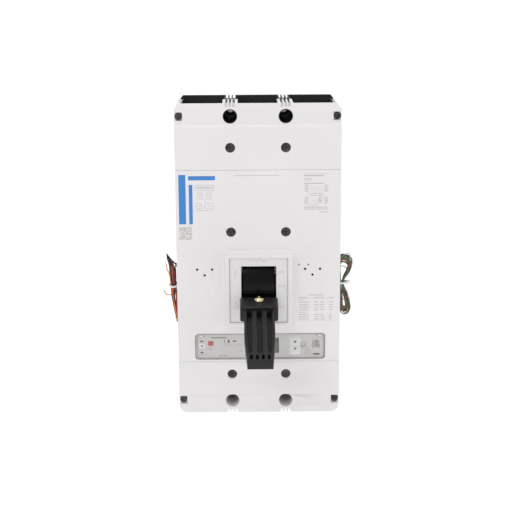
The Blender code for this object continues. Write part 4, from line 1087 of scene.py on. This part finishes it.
def set_lights():
    scene = bpy.context.scene
    scene.view_settings.view_transform = "Standard"
    world = bpy.data.worlds.new("studio")
    scene.world = world
    world.use_nodes = True
    back = world.node_tree.nodes["Background"]
    back.inputs["Color"].default_value = (0.985, 0.990, 1.0, 1)
    back.inputs["Strength"].default_value = 0.56


def area_light(name, place, target, size, power, colour=(1, 1, 1)):
    data = bpy.data.lights.new(name, "AREA")
    data.shape = "RECTANGLE"
    data.size, data.size_y = size
    data.energy = power
    data.color = colour
    obj = bpy.data.objects.new(name, data)
    bpy.context.scene.collection.objects.link(obj)
    run = Vector(target) - Vector(place)
    obj.matrix_world = Matrix.Translation(place) @ run.to_track_quat("-Z", "Y").to_matrix().to_4x4()


def make_floor():
    """A pale floor that curves up into a backdrop."""
    mat = Shader("studio_paper", (0.30, 0.30, 0.30), 0.75)
    mat.paint(mat.mix(mat.ramp(mat.noise(3, 2), 0.3, 0.7), (0.295, 0.295, 0.295), (0.305, 0.305, 0.305)))
    mat.bump(mat.noise(900, 2), 0.02, 0.0002)
    mat.bsdf.inputs["Emission Color"].default_value = (1, 1, 1, 1)
    mat.bsdf.inputs["Emission Strength"].default_value = 0.82
    bm = bmesh.new()
    line = [(-3.0, 0.0), (1.2, 0.0)] + [
        (1.2 + 0.8 * math.sin(math.radians(a)), 0.8 - 0.8 * math.cos(math.radians(a)))
        for a in range(10, 91, 10)
    ]
    line.append((2.0, 3.2))
    rows = [[bm.verts.new((x, y, FLOOR_Z + z)) for y, z in line] for x in (-3.5, 3.5)]
    for i in range(len(line) - 1):
        bm.faces.new((rows[0][i], rows[1][i], rows[1][i + 1], rows[0][i + 1]))
    mesh = bpy.data.meshes.new("studio_floor")
    bm.to_mesh(mesh)
    bm.free()
    mesh.shade_smooth()
    mesh.materials.append(mat.mat)
    floor = bpy.data.objects.new("studio_floor", mesh)
    bpy.context.scene.collection.objects.link(floor)


make_camera()
MATS = make_materials()
MATS |= {
    "green": wire_insulation("green_wire", (0.080, 0.205, 0.092)),
    "green_dark": wire_insulation("dark_green_wire", (0.042, 0.115, 0.058)),
    "brown": wire_insulation("brown_wire", (0.262, 0.105, 0.082)),
    "pale_wire": wire_insulation("pale_wire", (0.560, 0.550, 0.560)),
    "grey_wire": wire_insulation("grey_wire", (0.130, 0.125, 0.125)),
    "black_wire": wire_insulation("black_wire", (0.034, 0.031, 0.031)),
    "red_wire": wire_insulation("red_wire", (0.340, 0.022, 0.035)),
    "orange": wire_insulation("orange_wire", (0.700, 0.165, 0.040)),
}
make_harnesses(MATS)
make_ties(MATS)
finish_nodes(MATS)
make_screws(MATS)
extension_screw(MATS)
print_front(MATS)
# black discs in the test holes: painted shade for their hollow insides and the black base beyond
painted_hole_shade(MATS)
print_panel(MATS)
print_label(MATS)
make_floor()
set_lights()
area_light("key", (-0.9, -1.5, 1.5), (0, -0.1, 0), (1.4, 1.4), 12)
area_light("fill", (1.5, -1.2, 0.6), (0, -0.1, 0), (1.4, 1.4), 4.5)
area_light("top", (0, -0.25, 1.6), (0, -0.05, 0), (1.2, 0.7), 5)
